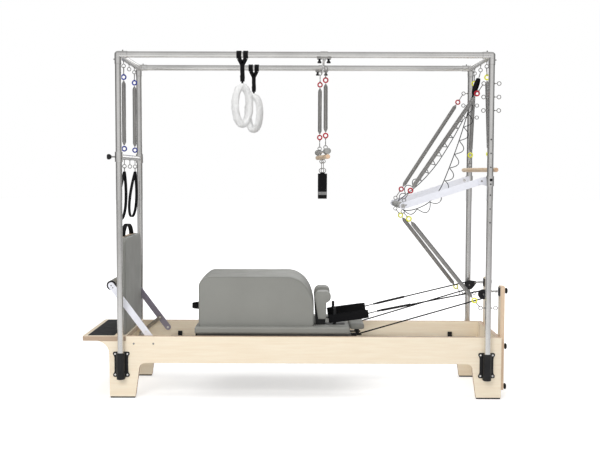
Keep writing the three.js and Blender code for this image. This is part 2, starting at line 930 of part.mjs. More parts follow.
for (const { name, s } of sides) {
  for (const { name: end, e } of ends) {
    const x = e * postX;
    const y = s * postY;
    const foot = v(x, y, postFoot);
    const head = v(x, y, topTubeHeight - sleeveReach - gap);
    let post = rod(foot, head, tubeRadius, tubeSides);
    if (e > 0) post = join(post, ...rightPostParts(s));
    const reach = v(0, 0, overrun);
    const bore = rod(foot.clone().sub(reach), head.clone().add(reach), tubeRadius - tubeWall, boreSides);
    post = cut(post, bore);
    if (e > 0) {
      for (let i = -adjustHolesDown; i <= adjustHolesUp; i++) {
        if (i === 0) continue;
        const z = pushPivotZ + i * adjustHoleSpacing;
        const out = y + s * (tubeRadius + overrun);
        post = cut(post, rod(v(x, y, z), v(x, out, z), adjustHoleRadius, smallSides));
      }
    }
    addNode(`post_${name}_${end}`, post, steel);

    // Bracket: waisted plate, half-round socket and its screws.
    const half = bracketWidth / 2;
    const waist = half - bracketWaist;
    const plate = new THREE.Shape();
    const c = bracketCorner;
    plate.moveTo(x - half, bracketLow + c / 2);
    plate.quadraticCurveTo(x - half, bracketLow, x - half + c / 2, bracketLow);
    plate.lineTo(x + half - c / 2, bracketLow);
    plate.quadraticCurveTo(x + half, bracketLow, x + half, bracketLow + c / 2);
    plate.lineTo(x + half, bracketLow + c);
    plate.lineTo(x + waist, bracketLow + 2 * c);
    plate.lineTo(x + waist, bracketHigh - 2 * c);
    plate.lineTo(x + half, bracketHigh - c);
    plate.lineTo(x + half, bracketHigh - c / 2);
    plate.quadraticCurveTo(x + half, bracketHigh, x + half - c / 2, bracketHigh);
    plate.lineTo(x - half + c / 2, bracketHigh);
    plate.quadraticCurveTo(x - half, bracketHigh, x - half, bracketHigh - c / 2);
    plate.lineTo(x - half, bracketHigh - c);
    plate.lineTo(x - waist, bracketHigh - 2 * c);
    plate.lineTo(x - waist, bracketLow + 2 * c);
    plate.lineTo(x - half, bracketLow + c);
    const face = s * (bedY + gap);
    const plateOuter = face + s * bracketPlate;
    const socketRadius = tubeRadius + socketWall;
    const socketLow = postFoot - gap - socketFloor;
    const socket = new THREE.Shape();
    socket.moveTo(x - socketRadius, face);
    socket.lineTo(x + socketRadius, face);
    socket.absarc(x, y, socketRadius, 0, s * Math.PI, s < 0);
    const socketDepth = socketHigh - socketLow;
    const socketGeometry = new THREE.ExtrudeGeometry(socket,
      { depth: socketDepth, bevelEnabled: false, curveSegments: 3 });
    const grubZ = bracketLow + grubRise;
    const pieces = [
      plateXZ(plate, face, plateOuter, 1),
      solidOf(socketGeometry.translate(0, 0, socketLow)),
      rod(v(x, y, grubZ), v(x + socketRadius + grubLength, y, grubZ), grubRadius, smallSides),
    ];
    for (const dx of [-1, 1]) {
      for (const z of [bracketLow + screwInset, bracketHigh - screwInset]) {
        const sx = x + dx * (half - screwInset);
        pieces.push(rod(v(sx, face, z), v(sx, plateOuter + s * screwHead, z), screwRadius, 5));
      }
    }
    const seat = rod(v(x, y, postFoot - gap), v(x, y, socketHigh + overrun), tubeRadius + gap, tubeSides);
    addNode(`bracket_${name}_${end}`, cut(join(...pieces), seat), blackPlastic);
  }
  const tubeEnd = postX - sleeveReach - gap;
  addNode(
    `top_tube_${name}`,
    tube(v(-tubeEnd, s * postY, topTubeHeight), v(tubeEnd, s * postY, topTubeHeight), tubeRadius, tubeWall),
    steel,
  );
}

// End frames: a cross tube welded to a corner fitting at each side, with three eyebolts below.
for (const { name, e } of ends) {
  const x = e * postX;
  const z = topTubeHeight;
  const sleeve = tubeRadius + sleeveWall;
  const pieces = [rod(v(x, -postY, z), v(x, postY, z), tubeRadius, tubeSides)];
  for (const { s } of sides) {
    const y = s * postY;
    const corner = v(x, y, z);
    const along = v(x - e * sleeveReach, y, z);
    const down = v(x, y, z - sleeveReach);
    pieces.push(
      solidOf(new THREE.SphereGeometry(sleeve, 8, 4).translate(x, y, z)),
      rod(corner, along, sleeve, tubeSides),
      rod(corner, down, sleeve, tubeSides),
      rod(corner, v(x, y - s * sleeveReach, z), sleeve, tubeSides),
      rod(v(x, y, z - sleeveReach / 2), v(x + e * (sleeve + setScrewLength), y, z - sleeveReach / 2),
        setScrewRadius, smallSides),
      rod(v(x - e * sleeveReach / 2, y, z), v(x - e * sleeveReach / 2, y, z + sleeve + setScrewLength),
        setScrewRadius, smallSides),
    );
  }
  const step = e < 0 ? leftEyeY : rightEyeY;
  const eyes = [-1, 0, 1].map((i) => eyebolt(v(x, i * step, z - tubeRadius + tubeWall / 2),
    v(x, i * step, z - eyeDrop)));
  addNode(`end_frame_${name}`, join(...pieces, ...eyes), steel);
}

// Foot bar: two flat arms on an axle tube, a padded roll between them and a strut that props it.
const armDirection = v(barEndX - barPivotX, 0, barEndZ - barPivotZ).normalize();
const armOuter = bedInner - barPlateThickness - gap;
const armInner = armOuter - armThickness;
const strutTop = v(barPivotX, 0, barPivotZ).addScaledVector(armDirection, strutAlong);
const strutOuter = armInner - gap;
const strutInner = strutOuter - strutThickness;

// A flat bar with round ends between two points in X and Z.
function roundBar(x0, z0, x1, z1, width, y0, y1) {
  const angle = Math.atan2(z1 - z0, x1 - x0);
  const outline = new THREE.Shape();
  outline.absarc(x0, z0, width / 2, angle + Math.PI / 2, angle + 1.5 * Math.PI);
  outline.absarc(x1, z1, width / 2, angle - Math.PI / 2, angle + Math.PI / 2);
  return plateXZ(outline, y0, y1, 3);
}

{
  const pieces = [];
  const holes = [];
  for (const { s } of sides) {
    const y0 = s * armInner;
    const y1 = s * armOuter;
    pieces.push(roundBar(barPivotX, barPivotZ, barEndX, barEndZ, armWidth, y0, y1));
    holes.push(boreFor(v(barPivotX, y0, barPivotZ), v(barPivotX, y1, barPivotZ), pivotPinRadius, pinGap));
    const pinEnd = s * (strutInner - armClearance);
    pieces.push(rod(v(strutTop.x, y0, strutTop.z), v(strutTop.x, pinEnd, strutTop.z), pivotPinRadius));
  }
  const core = rod(v(barEndX, -armInner - overrun / 2, barEndZ),
    v(barEndX, armInner + overrun / 2, barEndZ), footRollCore);
  addNode("foot_bar_frame", join(cut(join(...pieces), ...holes), core), aluminium);

  const rollEnd = armInner - gap;
  const padEnd = rollEnd - endCap;
  const lip = footRollRadius - padRound / 4;
  const roll = join(
    rod(v(barEndX, -padEnd, barEndZ), v(barEndX, padEnd, barEndZ), footRollRadius, 12),
    rod(v(barEndX, -rollEnd, barEndZ), v(barEndX, rollEnd, barEndZ), lip, 12),
  );
  const bore = rod(v(barEndX, -bedY, barEndZ), v(barEndX, bedY, barEndZ), footRollCore + runningGap);
  addNode("foot_bar_roll", cut(roll, bore), upholstery);

  const legs = sides.map(({ s }) => {
    const y0 = s * strutInner;
    const y1 = s * strutOuter;
    const leg = roundBar(strutTop.x, strutTop.z, strutFootX, strutFootZ, strutWidth, y0, y1);
    return cut(leg, boreFor(v(strutTop.x, y0, strutTop.z), v(strutTop.x, y1, strutTop.z), pivotPinRadius,
      pinGap));
  });
  const foot = rod(v(strutFootX, -strutInner - gap, strutFootZ),
    v(strutFootX, strutInner + gap, strutFootZ), strutRodRadius);
  addNode("foot_bar_strut", join(...legs, foot), steel);
}

// Jump board: ply board with a padded face, two locating pins and a webbing handle on top.
{
  const low = platformTop + gap;
  const outline = (inset) => {
    const y = boardHalfWidth - inset;
    const top = boardTop - inset;
    const bottom = low + inset;
    const c = boardCorner - inset;
    const shape = new THREE.Shape();
    shape.moveTo(-y, bottom);
    shape.lineTo(y, bottom);
    shape.lineTo(y, top - c);
    shape.quadraticCurveTo(y, top, y - c, top);
    shape.lineTo(-y + c, top);
    shape.quadraticCurveTo(-y, top, -y, top - c);
    return shape;
  };
  const boardRight = boardLeft + boardThickness;
  const padEdge = boardPad / 3;
  const padRings = [
    [0, -gap],
    [0, boardPad - padEdge],
    [padEdge / 3, boardPad - padEdge / 3],
    [padEdge, boardPad],
  ].map(([inset, reach]) => outline(inset).getPoints(3).map((p) => v(boardRight + reach, p.x, p.y)));
  const pins = [-1, 1].map((s) => {
    const x = boardLeft + boardThickness / 2;
    return rod(v(x, s * boardPinY, platformTop - boardPinDepth), v(x, s * boardPinY, low + overrun),
      boardPinRadius, rodSides);
  });
  const archX = boardLeft + boardThickness / 2;
  const arch = [];
  const archSteps = 8;
  for (let i = 0; i <= archSteps; i++) {
    const angle = Math.PI * (1 - i / archSteps);
    const foot = boardTop - 2 * strapThickness;
    arch.push(v(archX, boardHandleSpan * Math.cos(angle),
      foot + (boardHandleRise + 2 * strapThickness) * Math.sin(angle)));
  }
  const solid = join(
    plateYZ(outline(0), boardLeft, boardRight, 3),
    loft(padRings.map((points) => points.filter((p, i) => i === 0 || p.distanceTo(points[i - 1]) > weld))),
    band(arch, v(1, 0, 0), strapWidth, strapThickness),
    ...pins,
  );
  addNode("jump_board", solid, upholstery);
}

// Carriage: a frame on two wheel axles, its pad, and what stands on it.
{
  const low = padBottom - gap - frameThickness;
  const high = padBottom - gap;
  const y = frameHalfWidth;
  const rim = block(v(frameLeft, -y, low), v(frameRight, y, high));
  const middle = (frameLeft + frameRight) / 2;
  const wells = [
    [frameLeft + frameBeam, middle - frameBeam / 2],
    [middle + frameBeam / 2, frameRight - frameBeam],
  ];
  const inner = y - frameBeam;
  const cuts = wells.map(([x0, x1]) => block(v(x0, -inner, low - overrun), v(x1, inner, high + overrun)));
  const axleZ = railTop + wheelRadius + gap;
  const pieces = [];
  for (const { s } of sides) {
    for (const x of [wheelLeftX, wheelRightX]) {
      const y0 = s * (axleHousingY - axleHousing / 2);
      const y1 = s * (axleHousingY + axleHousing / 2);
      pieces.push(block(v(x - axleHousing, y0, axleZ - axleHousing * 0.75),
        v(x + axleHousing, y1, low + overrun)));
      cuts.push(boreFor(v(x, y0, axleZ), v(x, y1, axleZ), axleRadius, pinGap));
    }
    const by = s * bumperSpan;
    pieces.push(
      block(v(frameLeft - bumperLength, by - bumperWidth / 2, low),
        v(frameLeft + overrun, by + bumperWidth / 2, high)),
      block(v(frameRight - overrun, s * anchorY - anchorHeight / 2, high - anchorHeight),
        v(frameRight + anchorLength, s * anchorY + anchorHeight / 2, high)),
      block(
        v(frameRight - overrun, s * bracketArmWidth * 3, low),
        v(headrestLeft + bracketArm, s * bracketArmWidth * 4, low + bracketArmThickness),
      ),
    );
  }
  addNode("carriage_frame", cut(join(rim, ...pieces), ...cuts), aluminium);

  for (const [end, x] of [["left", wheelLeftX], ["right", wheelRightX]]) {
    const reach = bedInner - runningGap * 2;
    const wheelsOnAxle = [rod(v(x, -reach, axleZ), v(x, reach, axleZ), axleRadius)];
    for (const { s } of sides) {
      wheelsOnAxle.push(rod(v(x, s * (reach - armClearance), axleZ),
        v(x, s * (reach - armClearance - wheelWidth), axleZ), wheelRadius, 12));
    }
    addNode(`wheel_axle_${end}`, join(...wheelsOnAxle), blackRubber);
  }

  const pad = cushion(v(carriageLeft, -padHalfWidth, padBottom), v(carriageRight, padHalfWidth, padTop),
    padRound, v(0, 0, 0));
  addNode("carriage_pad", pad, upholstery);

  // Springs under the carriage, hooked on the spring bar and held by one plate under the middle beam.
  const springZ = carriageSpringZ;
  const plateY = 2 * carriageSpringSpacing + 2 * carriageSpringRadius;
  const plateLeft = middle - springPlate;
  const springPieces = [block(v(plateLeft, -plateY, springZ - carriageSpringRadius),
    v(middle, plateY, low - gap))];
  const coilStart = springBarPlace + carriageSpringLead;
  for (let i = -2; i <= 2; i++) {
    const sy = i * carriageSpringSpacing;
    springPieces.push(
      rod(v(coilStart, sy, springZ), v(plateLeft + overrun, sy, springZ), carriageSpringRadius, rodSides),
      rod(v(springBarPlace + hookWire + gap, sy, springZ), v(coilStart + overrun, sy, springZ), hookWire,
        smallSides),
    );
  }
  addNode("carriage_springs", join(...springPieces), springGrey);
}

{
  const low = padTop - headrestThickness;
  const solid = cushion(
    v(headrestLeft, -headrestHalfWidth, low),
    v(headrestRight, headrestHalfWidth, padTop),
    headrestRound,
    v(0, 0, headrestCrown),
  );
  const frameLow = padBottom - gap - frameThickness;
  const post = sides.map(({ s }) =>
    block(
      v(headrestLeft + bracketArm * 0.5, s * bracketArmWidth * 3, frameLow + bracketArmThickness + gap),
      v(headrestLeft + bracketArm * 0.8, s * bracketArmWidth * 4, low + overrun),
    ),
  );
  addNode("headrest", join(solid, ...post), upholstery);
}

for (const { name, s } of sides) {
  const side = new THREE.Shape();
  const arcTop = restHigh - restRollRadius;
  side.moveTo(restBaseLeft, restLow);
  side.lineTo(restBaseRight, restLow);
  side.lineTo(restBaseRight, arcTop - restRollRadius * 1.1);
  side.absarc(restRollX, arcTop, restRollRadius, -0.35 * Math.PI, 0.5 * Math.PI);
  side.lineTo(restTopLeft + restCorner, restHigh);
  side.quadraticCurveTo(restTopLeft, restHigh, restTopLeft, restHigh - restCorner);
  const inset = restBevel;
  const padSolid = new THREE.ExtrudeGeometry(side, {
    depth: 2 * (restHalfWidth - inset),
    bevelEnabled: true,
    bevelThickness: inset,
    bevelSize: inset / 2,
    bevelOffset: -inset / 2,
    bevelSegments: 1,
    curveSegments: 4,
  });
  padSolid.rotateX(Math.PI / 2).translate(0, s * restY + restHalfWidth - inset, 0);
  const strip = new THREE.Shape();
  const baseLow = padTop + gap;
  strip.moveTo(restBaseLeft - restPlate * 2, baseLow);
  strip.lineTo(restPlateRight, baseLow);
  strip.lineTo(restPlateRight, baseLow + restPlate);
  strip.lineTo(restBaseRight - restPlate, baseLow + restPlate);
  strip.lineTo(restBaseRight - restPlate, restLow + overrun);
  strip.lineTo(restBaseLeft + overrun, restLow + overrun);
  strip.lineTo(restTopLeft + overrun, restHigh - restCorner);
  strip.lineTo(restTopLeft - restPlate / 2, restHigh - restCorner);
  const y0 = s * restY - restPlateHalfWidth;
  const y1 = s * restY + restPlateHalfWidth;
  const peg = rod(v(pegX, s * handleY, baseLow), v(pegX, s * handleY, pegTop), pegRadius, rodSides);
  const solid = join(solidOf(padSolid), plateXZ(strip, y0, y1), peg);
  addNode(`shoulder_rest_${name}`, solid, upholstery);
}

// Sitting box: an upholstered block with one large round corner, and a webbing handle.
{
  const low = padTop + gap;
  const high = low + boxHeight;
  const outline = (inset) => {
    const x0 = boxLeft + inset;
    const x1 = boxRight - inset;
    const z0 = low;
    const z1 = high - inset;
    const points = [];
    const corner = (cx, cz, rx, rz, start, steps) => {
      for (let i = 0; i <= steps; i++) {
        const angle = start + (Math.PI / 2) * (i / steps);
        points.push([cx + rx * Math.cos(angle), cz + rz * Math.sin(angle)]);
      }
    };
    const foot = boxFootCorner;
    corner(x1 - foot, z0 + foot, foot, foot, -Math.PI / 2, 1);
    corner(x1 - boxRightCornerX, z1 - boxRightCornerZ, boxRightCornerX, boxRightCornerZ, 0, 5);
    corner(x0 + boxLeftCorner, z1 - boxLeftCorner, boxLeftCorner, boxLeftCorner, Math.PI / 2, 4);
    corner(x0 + foot, z0 + foot, foot, foot, Math.PI, 1);
    return points;
  };
  const stations = [];
  const y = boxHalfWidth;
  for (const [reach, inset] of [[y, boxEdge], [y - boxEdge * 0.3, boxEdge * 0.3], [y - boxEdge, 0],
    [y / 2, -boxCrown / 2]]) {
    stations.push([reach, inset]);
  }
  const rings = [...stations.map(([r, i]) => [-r, i]),
    ...stations.reverse().map(([r, i]) => [r, i])].map(([at, inset]) =>
    outline(inset).map(([px, pz]) => v(px, at, pz)),
  );
  const handleZ = low + boxHandleRise;
  const handle = [];
  const handleSteps = 8;
  for (let i = 0; i <= handleSteps; i++) {
    const angle = Math.PI * (i / handleSteps);
    const root = boxLeft + strapThickness;
    handle.push(v(root - (boxHandleReach + strapThickness) * Math.sin(angle) ** 0.7,
      boxHandleSpan * Math.cos(angle), handleZ));
  }
  addNode("sitting_box", join(loft(rings), band(handle, v(0, 0, 1), strapWidth, strapThickness)), upholstery);
}

// Risers on the head end board, each with its knobs, a sprung eye and a pulley block.
const eyeBoltZ = pulleyZ + cheekRadius * 0.55;
for (const { name, s } of sides) {
  const y = s * riserY;
  const x0 = riserLeft;
  const x1 = riserRight;
  const pieces = [block(v(x0, y - riserWidth / 2, riserLow), v(x1, y + riserWidth / 2, riserTop))];
  for (const z of [topKnobHeight, midKnobHeight, lowKnobHeight]) {
    pieces.push(knob(v(x1 - gap, y, z), v(1, 0, 0), knobRadius, knobDepth + gap, knobNeck));
    if (z !== topKnobHeight) pieces.push(rod(v(x0 + overrun, y, z), v(x0 - knobBoltReach, y, z),
      knobBoltRadius, smallSides));
  }
  const plateLeft = x0 - riserPlateThickness;
  pieces.push(
    block(
      v(plateLeft, y - riserPlateWidth / 2, eyeBoltZ - riserPlateHeight / 2),
      v(x0 + gap, y + riserPlateWidth / 2, eyeBoltZ + riserPlateHeight / 2),
    ),
  );
  const coilStart = v(swivelX + swivelRingRadius + swivelWire, y, eyeBoltZ);
  const coilEnd = v(plateLeft + gap, y, eyeBoltZ);
  pieces.push(
    rod(coilStart, coilEnd, riserCoilEndRadius, rodSides, riserCoilRadius),
    rod(v(swivelX + swivelRingRadius, y, eyeBoltZ), v(coilStart.x + gap, y, eyeBoltZ), swivelWire,
      smallSides),
    ring(v(swivelX, y, eyeBoltZ), v(0, 1, 0), swivelRingRadius, swivelWire, 8, 3),
  );
  addNode(`riser_${name}`, join(...pieces), birch);

  // Pulley block: two cheeks, an axle and a swivel pin through the sprung eye.
  const cheek = () => {
    const shape = new THREE.Shape();
    shape.absarc(pulleyX, pulleyZ, cheekRadius, Math.PI * 0.45, Math.PI * 1.8);
    shape.absarc(swivelX, eyeBoltZ, swivelEnd, -Math.PI * 0.3, Math.PI * 0.5);
    return shape;
  };
  const inside = pulleyWidth / 2 + runningGap;
  const blockPieces = [];
  for (const side of [-1, 1]) {
    blockPieces.push(plateXZ(cheek(), y + side * inside, y + side * (inside + cheekThickness), 2));
  }
  const cheekEnd = inside + cheekThickness;
  const pinReach = cheekEnd + cheekThickness / 2;
  blockPieces.push(
    rod(v(pulleyX, y - pinReach, pulleyZ), v(pulleyX, y + pinReach, pulleyZ), pulleyAxle, 6),
    rod(v(swivelX, y - pinReach, eyeBoltZ), v(swivelX, y + pinReach, eyeBoltZ), swivelRadius, 6),
  );
  addNode(`pulley_block_${name}`, join(...blockPieces), blackPlastic);

  // Pulley wheel with its rope groove.
  const w = pulleyWidth / 2 - runningGap / 2;
  const deep = pulleyRadius - pulleyGroove;
  const bore = (pulleyAxle + pinGap) / Math.cos(Math.PI / 10);
  const profile = [
    [bore, -w],
    [pulleyRadius, -w],
    [pulleyRadius, -w * grooveMouthShare],
    [deep, -w * grooveFloorShare],
    [deep, w * grooveFloorShare],
    [pulleyRadius, w * grooveMouthShare],
    [pulleyRadius, w],
    [bore, w],
    [bore, -w],
  ].map(([r, h]) => new THREE.Vector2(r, h));
  const wheel = new THREE.LatheGeometry(profile, 10).translate(pulleyX, y, pulleyZ);
  addNode(`pulley_wheel_${name}`, solidOf(wheel), blackPlastic);
}

// Ropes: from the carriage anchor, round the pulley and back to a ferrule and a webbing handle.
for (const { name, s } of sides) {
  const y = s * riserY;
  const around = [];
  const lowAngle = -0.44 * Math.PI;
  const highAngle = 0.56 * Math.PI;
  const turnSteps = 5;
  for (let i = 0; i <= turnSteps; i++) {
    const angle = lowAngle + (highAngle - lowAngle) * (i / turnSteps);
    around.push(v(pulleyX + ropeTurnRadius * Math.cos(angle), y, pulleyZ + ropeTurnRadius * Math.sin(angle)));
  }
  const anchor = v(ropeAnchorX, s * anchorY, padBottom - anchorHeight / 2);
  const ferrule = v(ferruleX, s * handleY, ferruleZ);
  const before = anchor.clone().lerp(around[0], 0.5);
  const after = around[turnSteps].clone().lerp(ferrule, 0.5);
  const rope = loft(wireRings([anchor, before, ...around, after, ferrule], ropeRadius, 6));
  const sleeveStart = ferrule.clone().lerp(around[turnSteps], ropeSleeveShare);
  const back = ferrule.clone().lerp(around[turnSteps],
    -ferruleLength / ferrule.distanceTo(around[turnSteps]));
  const right = v(handleRightX, s * handleY, handleRightZ);
  const left = v(handleLeftX, s * handleY, handleLeftZ);
  const along = left.clone().sub(right).normalize();
  const up = v(0, 1, 0).cross(along).normalize();
  const loop = [];
  const loopSteps = 10;
  const middle = right.clone().add(left).multiplyScalar(0.5);
  const halfLength = right.distanceTo(left) / 2;
  for (let i = 0; i < loopSteps; i++) {
    const angle = (2 * Math.PI * i) / loopSteps;
    const reach = Math.sign(Math.cos(angle)) * Math.abs(Math.cos(angle)) ** 0.6;
    const across = handleHalfWidth * Math.sin(angle);
    loop.push(middle.clone().addScaledVector(along, -halfLength * reach).add(v(0, across, 0)));
  }
  const corners = [loop[1], loop[loopSteps - 1]];
  const solid = join(
    rope,
    rod(sleeveStart, ferrule, ropeSleeveRadius),
    rod(ferrule, back, ferruleRadius, smallSides),
    ...corners.map((corner) => rod(back.clone().lerp(ferrule, 0.5), corner, ropeRadius / 2, smallSides)),
    band(loop, up, handleStrapWidth, handleThickness, true),
  );
  addNode(`rope_${name}`, solid, webbing);
}

// Push-through bar: two flat arms, the grip bar and an eye for each spring.
const pushEyes = {};
{
  const pieces = [];
  const holes = [];
  for (const { s } of sides) {
    const y0 = s * (pushArmY - pushArmThickness / 2);
    const y1 = s * (pushArmY + pushArmThickness / 2);
    pieces.push(roundBar(pushPivotX, pushPivotZ, pushEndX, pushEndZ, pushArmWidth, y0, y1));
    holes.push(boreFor(v(pushPivotX, y0, pushPivotZ), v(pushPivotX, y1, pushPivotZ), pushPinRadius, pinGap));
  }
  const bar = v(pushEndX, 0, pushEndZ);
  const end = v(0, pushArmY + armClearance + overrun, 0);
  pieces.push(rod(bar.clone().sub(end), bar.clone().add(end), pushBarRadius, 8));
  const grip = v(0, pushGripHalf, 0);
  pieces.push(rod(bar.clone().sub(grip), bar.clone().add(grip), pushGripRadius, 10));
  for (const { name, s } of sides) {
    for (const [place, up] of [["up", 1], ["down", -1]]) {
      const y = s * (pushEyeY + (up > 0 ? pushEyeSpread : 0));
      const root = v(pushEndX, y, pushEndZ);
      const lean = v(up > 0 ? 0.3 : 0.2, 0, up).normalize();
      const centre = root.clone().addScaledVector(lean, pushBarRadius + 2 * eyeRadius);
      pieces.push(eyebolt(root, centre));
      pushEyes[`${name}_${place}`] = centre;
    }
  }
  addNode("push_through_bar", join(cut(join(...pieces), ...holes)), aluminium);
}

for (const { name, s } of sides) {
  const top = v(postX - postEyeReach, s * postY, topPostEyeZ);
  const low = v(postX - postEyeReach, s * postY, lowPostEyeHeight);
  addNode(`push_spring_${name}`, ringSpring(top, pushEyes[`${name}_up`], redHook, redHook), springGrey);
  addNode(`lower_spring_${name}`, ringSpring(low, pushEyes[`${name}_down`], lowYellowHook, lowYellowHook),
    springGrey);
}

// Roll-down bar on two springs from the right end frame.
{
  const skew = rollBarSkewX / rollBarHalf;
  const x = (y) => postX - skew * y;
  const z = rollBarHeight;
  const bar = rod(v(x(-rollBarHalf), -rollBarHalf, z), v(x(rollBarHalf), rollBarHalf, z), rollBarRadius, 8);
  const pieces = [bar];
  for (const { name, s } of sides) {
    const y = s * rollEyeY;
    const eye = v(x(y), y, z + rollBarRadius + 1.6 * eyeRadius);
    pieces.push(eyebolt(v(x(y), y, z), eye));
    const hung = v(postX, s * rightEyeY, topTubeHeight - eyeDrop);
    addNode(`roll_down_spring_${name}`, ringSpring(hung, eye, yellowHook, yellowHook), springGrey);
  }
  addNode("roll_down_bar", join(...pieces), dowelWood);
}

// Sliding bar on the left posts: a collar on each post, a pull pin and three eyes.
{
  const z = leftBarHeight;
  const outer = tubeRadius + collarWall;
  const pieces = [rod(v(-postX, -postY, z), v(-postX, postY, z), leftBarRadius, 8)];
  const bores = [];
  for (const { s } of sides) {
    const y = s * postY;
    pieces.push(rod(v(-postX, y, z - collarHeight / 2), v(-postX, y, z + collarHeight / 2), outer,
      tubeSides));
    bores.push(rod(v(-postX, y, z - collarHeight), v(-postX, y, z + collarHeight),
      tubeRadius + runningGap, tubeSides));
  }
  const pinStart = -postX - outer;
  const solid = join(
    cut(join(...pieces), ...bores),
    rod(v(pinStart + collarWall / 2, -postY, z), v(pinStart - pinLength, -postY, z), pinRadius, rodSides),
    rod(v(pinStart - pinLength, -postY, z), v(pinStart - pinLength - pinKnobLength, -postY, z),
      pinKnobRadius, 10, pinKnobRadius * 0.8),
    ...[-1, 0, 1].map((i) => eyebolt(v(-postX, i * leftEyeY, z),
      v(-postX, i * leftEyeY, z - leftBarEyeDrop))),
  );
  addNode("left_sliding_bar", solid, aluminium);
}

for (const { name, s } of sides) {
  const y = s * leftEyeY;
  const eye = v(-postX, y, topTubeHeight - eyeDrop);
  addNode(`hanging_spring_${name}`,
    ringSpring(eye, v(-postX, y, leftBarHeight + blueClearance), blueHook, 0), springGrey);

  // A long webbing loop under the sliding bar, wider towards its foot and turned about its link.
  const loopEye = v(-postX, y, leftBarHeight - leftBarEyeDrop);
  const top = loopEye.z - loopLink;
  const height = top - loopBottom;
  const turn = Math.PI * loopTurnShare;
  const across = v(Math.cos(turn), Math.sin(turn), 0);
  const side = v(-Math.sin(turn), Math.cos(turn), 0);
  const steps = 16;
  const points = [];
  for (let i = 0; i < steps; i++) {
    const angle = (2 * Math.PI * i) / steps;
    const down = (1 - Math.cos(angle)) / 2;
    const width = loopHalfWidth * Math.sin(angle) * Math.sqrt(down);
    points.push(v(-postX - loopShift * down, y, top - height * down).addScaledVector(across, width));
  }
  const link = lay(hookLink(catchStart, loopLink), loopEye, v(-postX, y, top));
  addNode(`strap_loop_${name}`, join(band(points, side, loopWidth, loopThickness, true), link), webbing);
}

// Trapeze: the sliding cross bar under the top tubes, two springs, its bars and a sling.
const sliderZ = topTubeHeight - sliderDrop;
{
  const x = trapezeX;
  const pieces = [rod(v(x, -postY, sliderZ), v(x, postY, sliderZ), sliderBarRadius, 10)];
  for (const { s } of sides) {
    const y = s * postY;
    const sleeveOuter = tubeRadius + runningGap + sleeveWall;
    const sleeveHalf = sliderSleeveLength / 2;
    const sleeve = cut(
      rod(v(x - sleeveHalf, y, topTubeHeight), v(x + sleeveHalf, y, topTubeHeight), sleeveOuter, tubeSides),
      rod(v(x - sliderPlateLength, y, topTubeHeight), v(x + sliderPlateLength, y, topTubeHeight),
        tubeRadius + runningGap, tubeSides),
    );
    const plateTop = topTubeHeight - tubeRadius - runningGap;
    const halfPlate = sliderPlateLength / 2;
    pieces.push(
      sleeve,
      block(
        v(x - halfPlate, y - sliderPlateWidth / 2, plateTop - sliderPlateThickness),
        v(x + halfPlate, y + sliderPlateWidth / 2, plateTop),
      ),
      rod(v(x, y, plateTop - overrun / 2), v(x, y, sliderZ), sliderBarRadius, rodSides),
    );
    for (const dx of [-sliderKnobSpread, sliderKnobSpread]) {
      const kx = x + dx;
      const under = plateTop - sliderPlateThickness;
      const washerLow = under - washerThickness;
      const knobLow = washerLow - sliderKnobHeight;
      pieces.push(
        rod(v(kx, y, under + gap), v(kx, y, washerLow), washerRadius, rodSides),
        rod(v(kx, y, knobLow), v(kx, y, washerLow + gap), sliderKnobRadius, rodSides, sliderKnobRadius / 3),
      );
    }
    const eyeX = x - s * trapezeSkewX;
    const eyeY = s * trapezeEyeY;
    const arm = v(x, eyeY, sliderZ);
    const eyeCentre = v(eyeX, eyeY, sliderZ - sliderBarRadius - trapezeEyeDrop);
    pieces.push(eyebolt(arm, eyeCentre));
  }
  addNode("trapeze_slider", join(...pieces), steel);
}

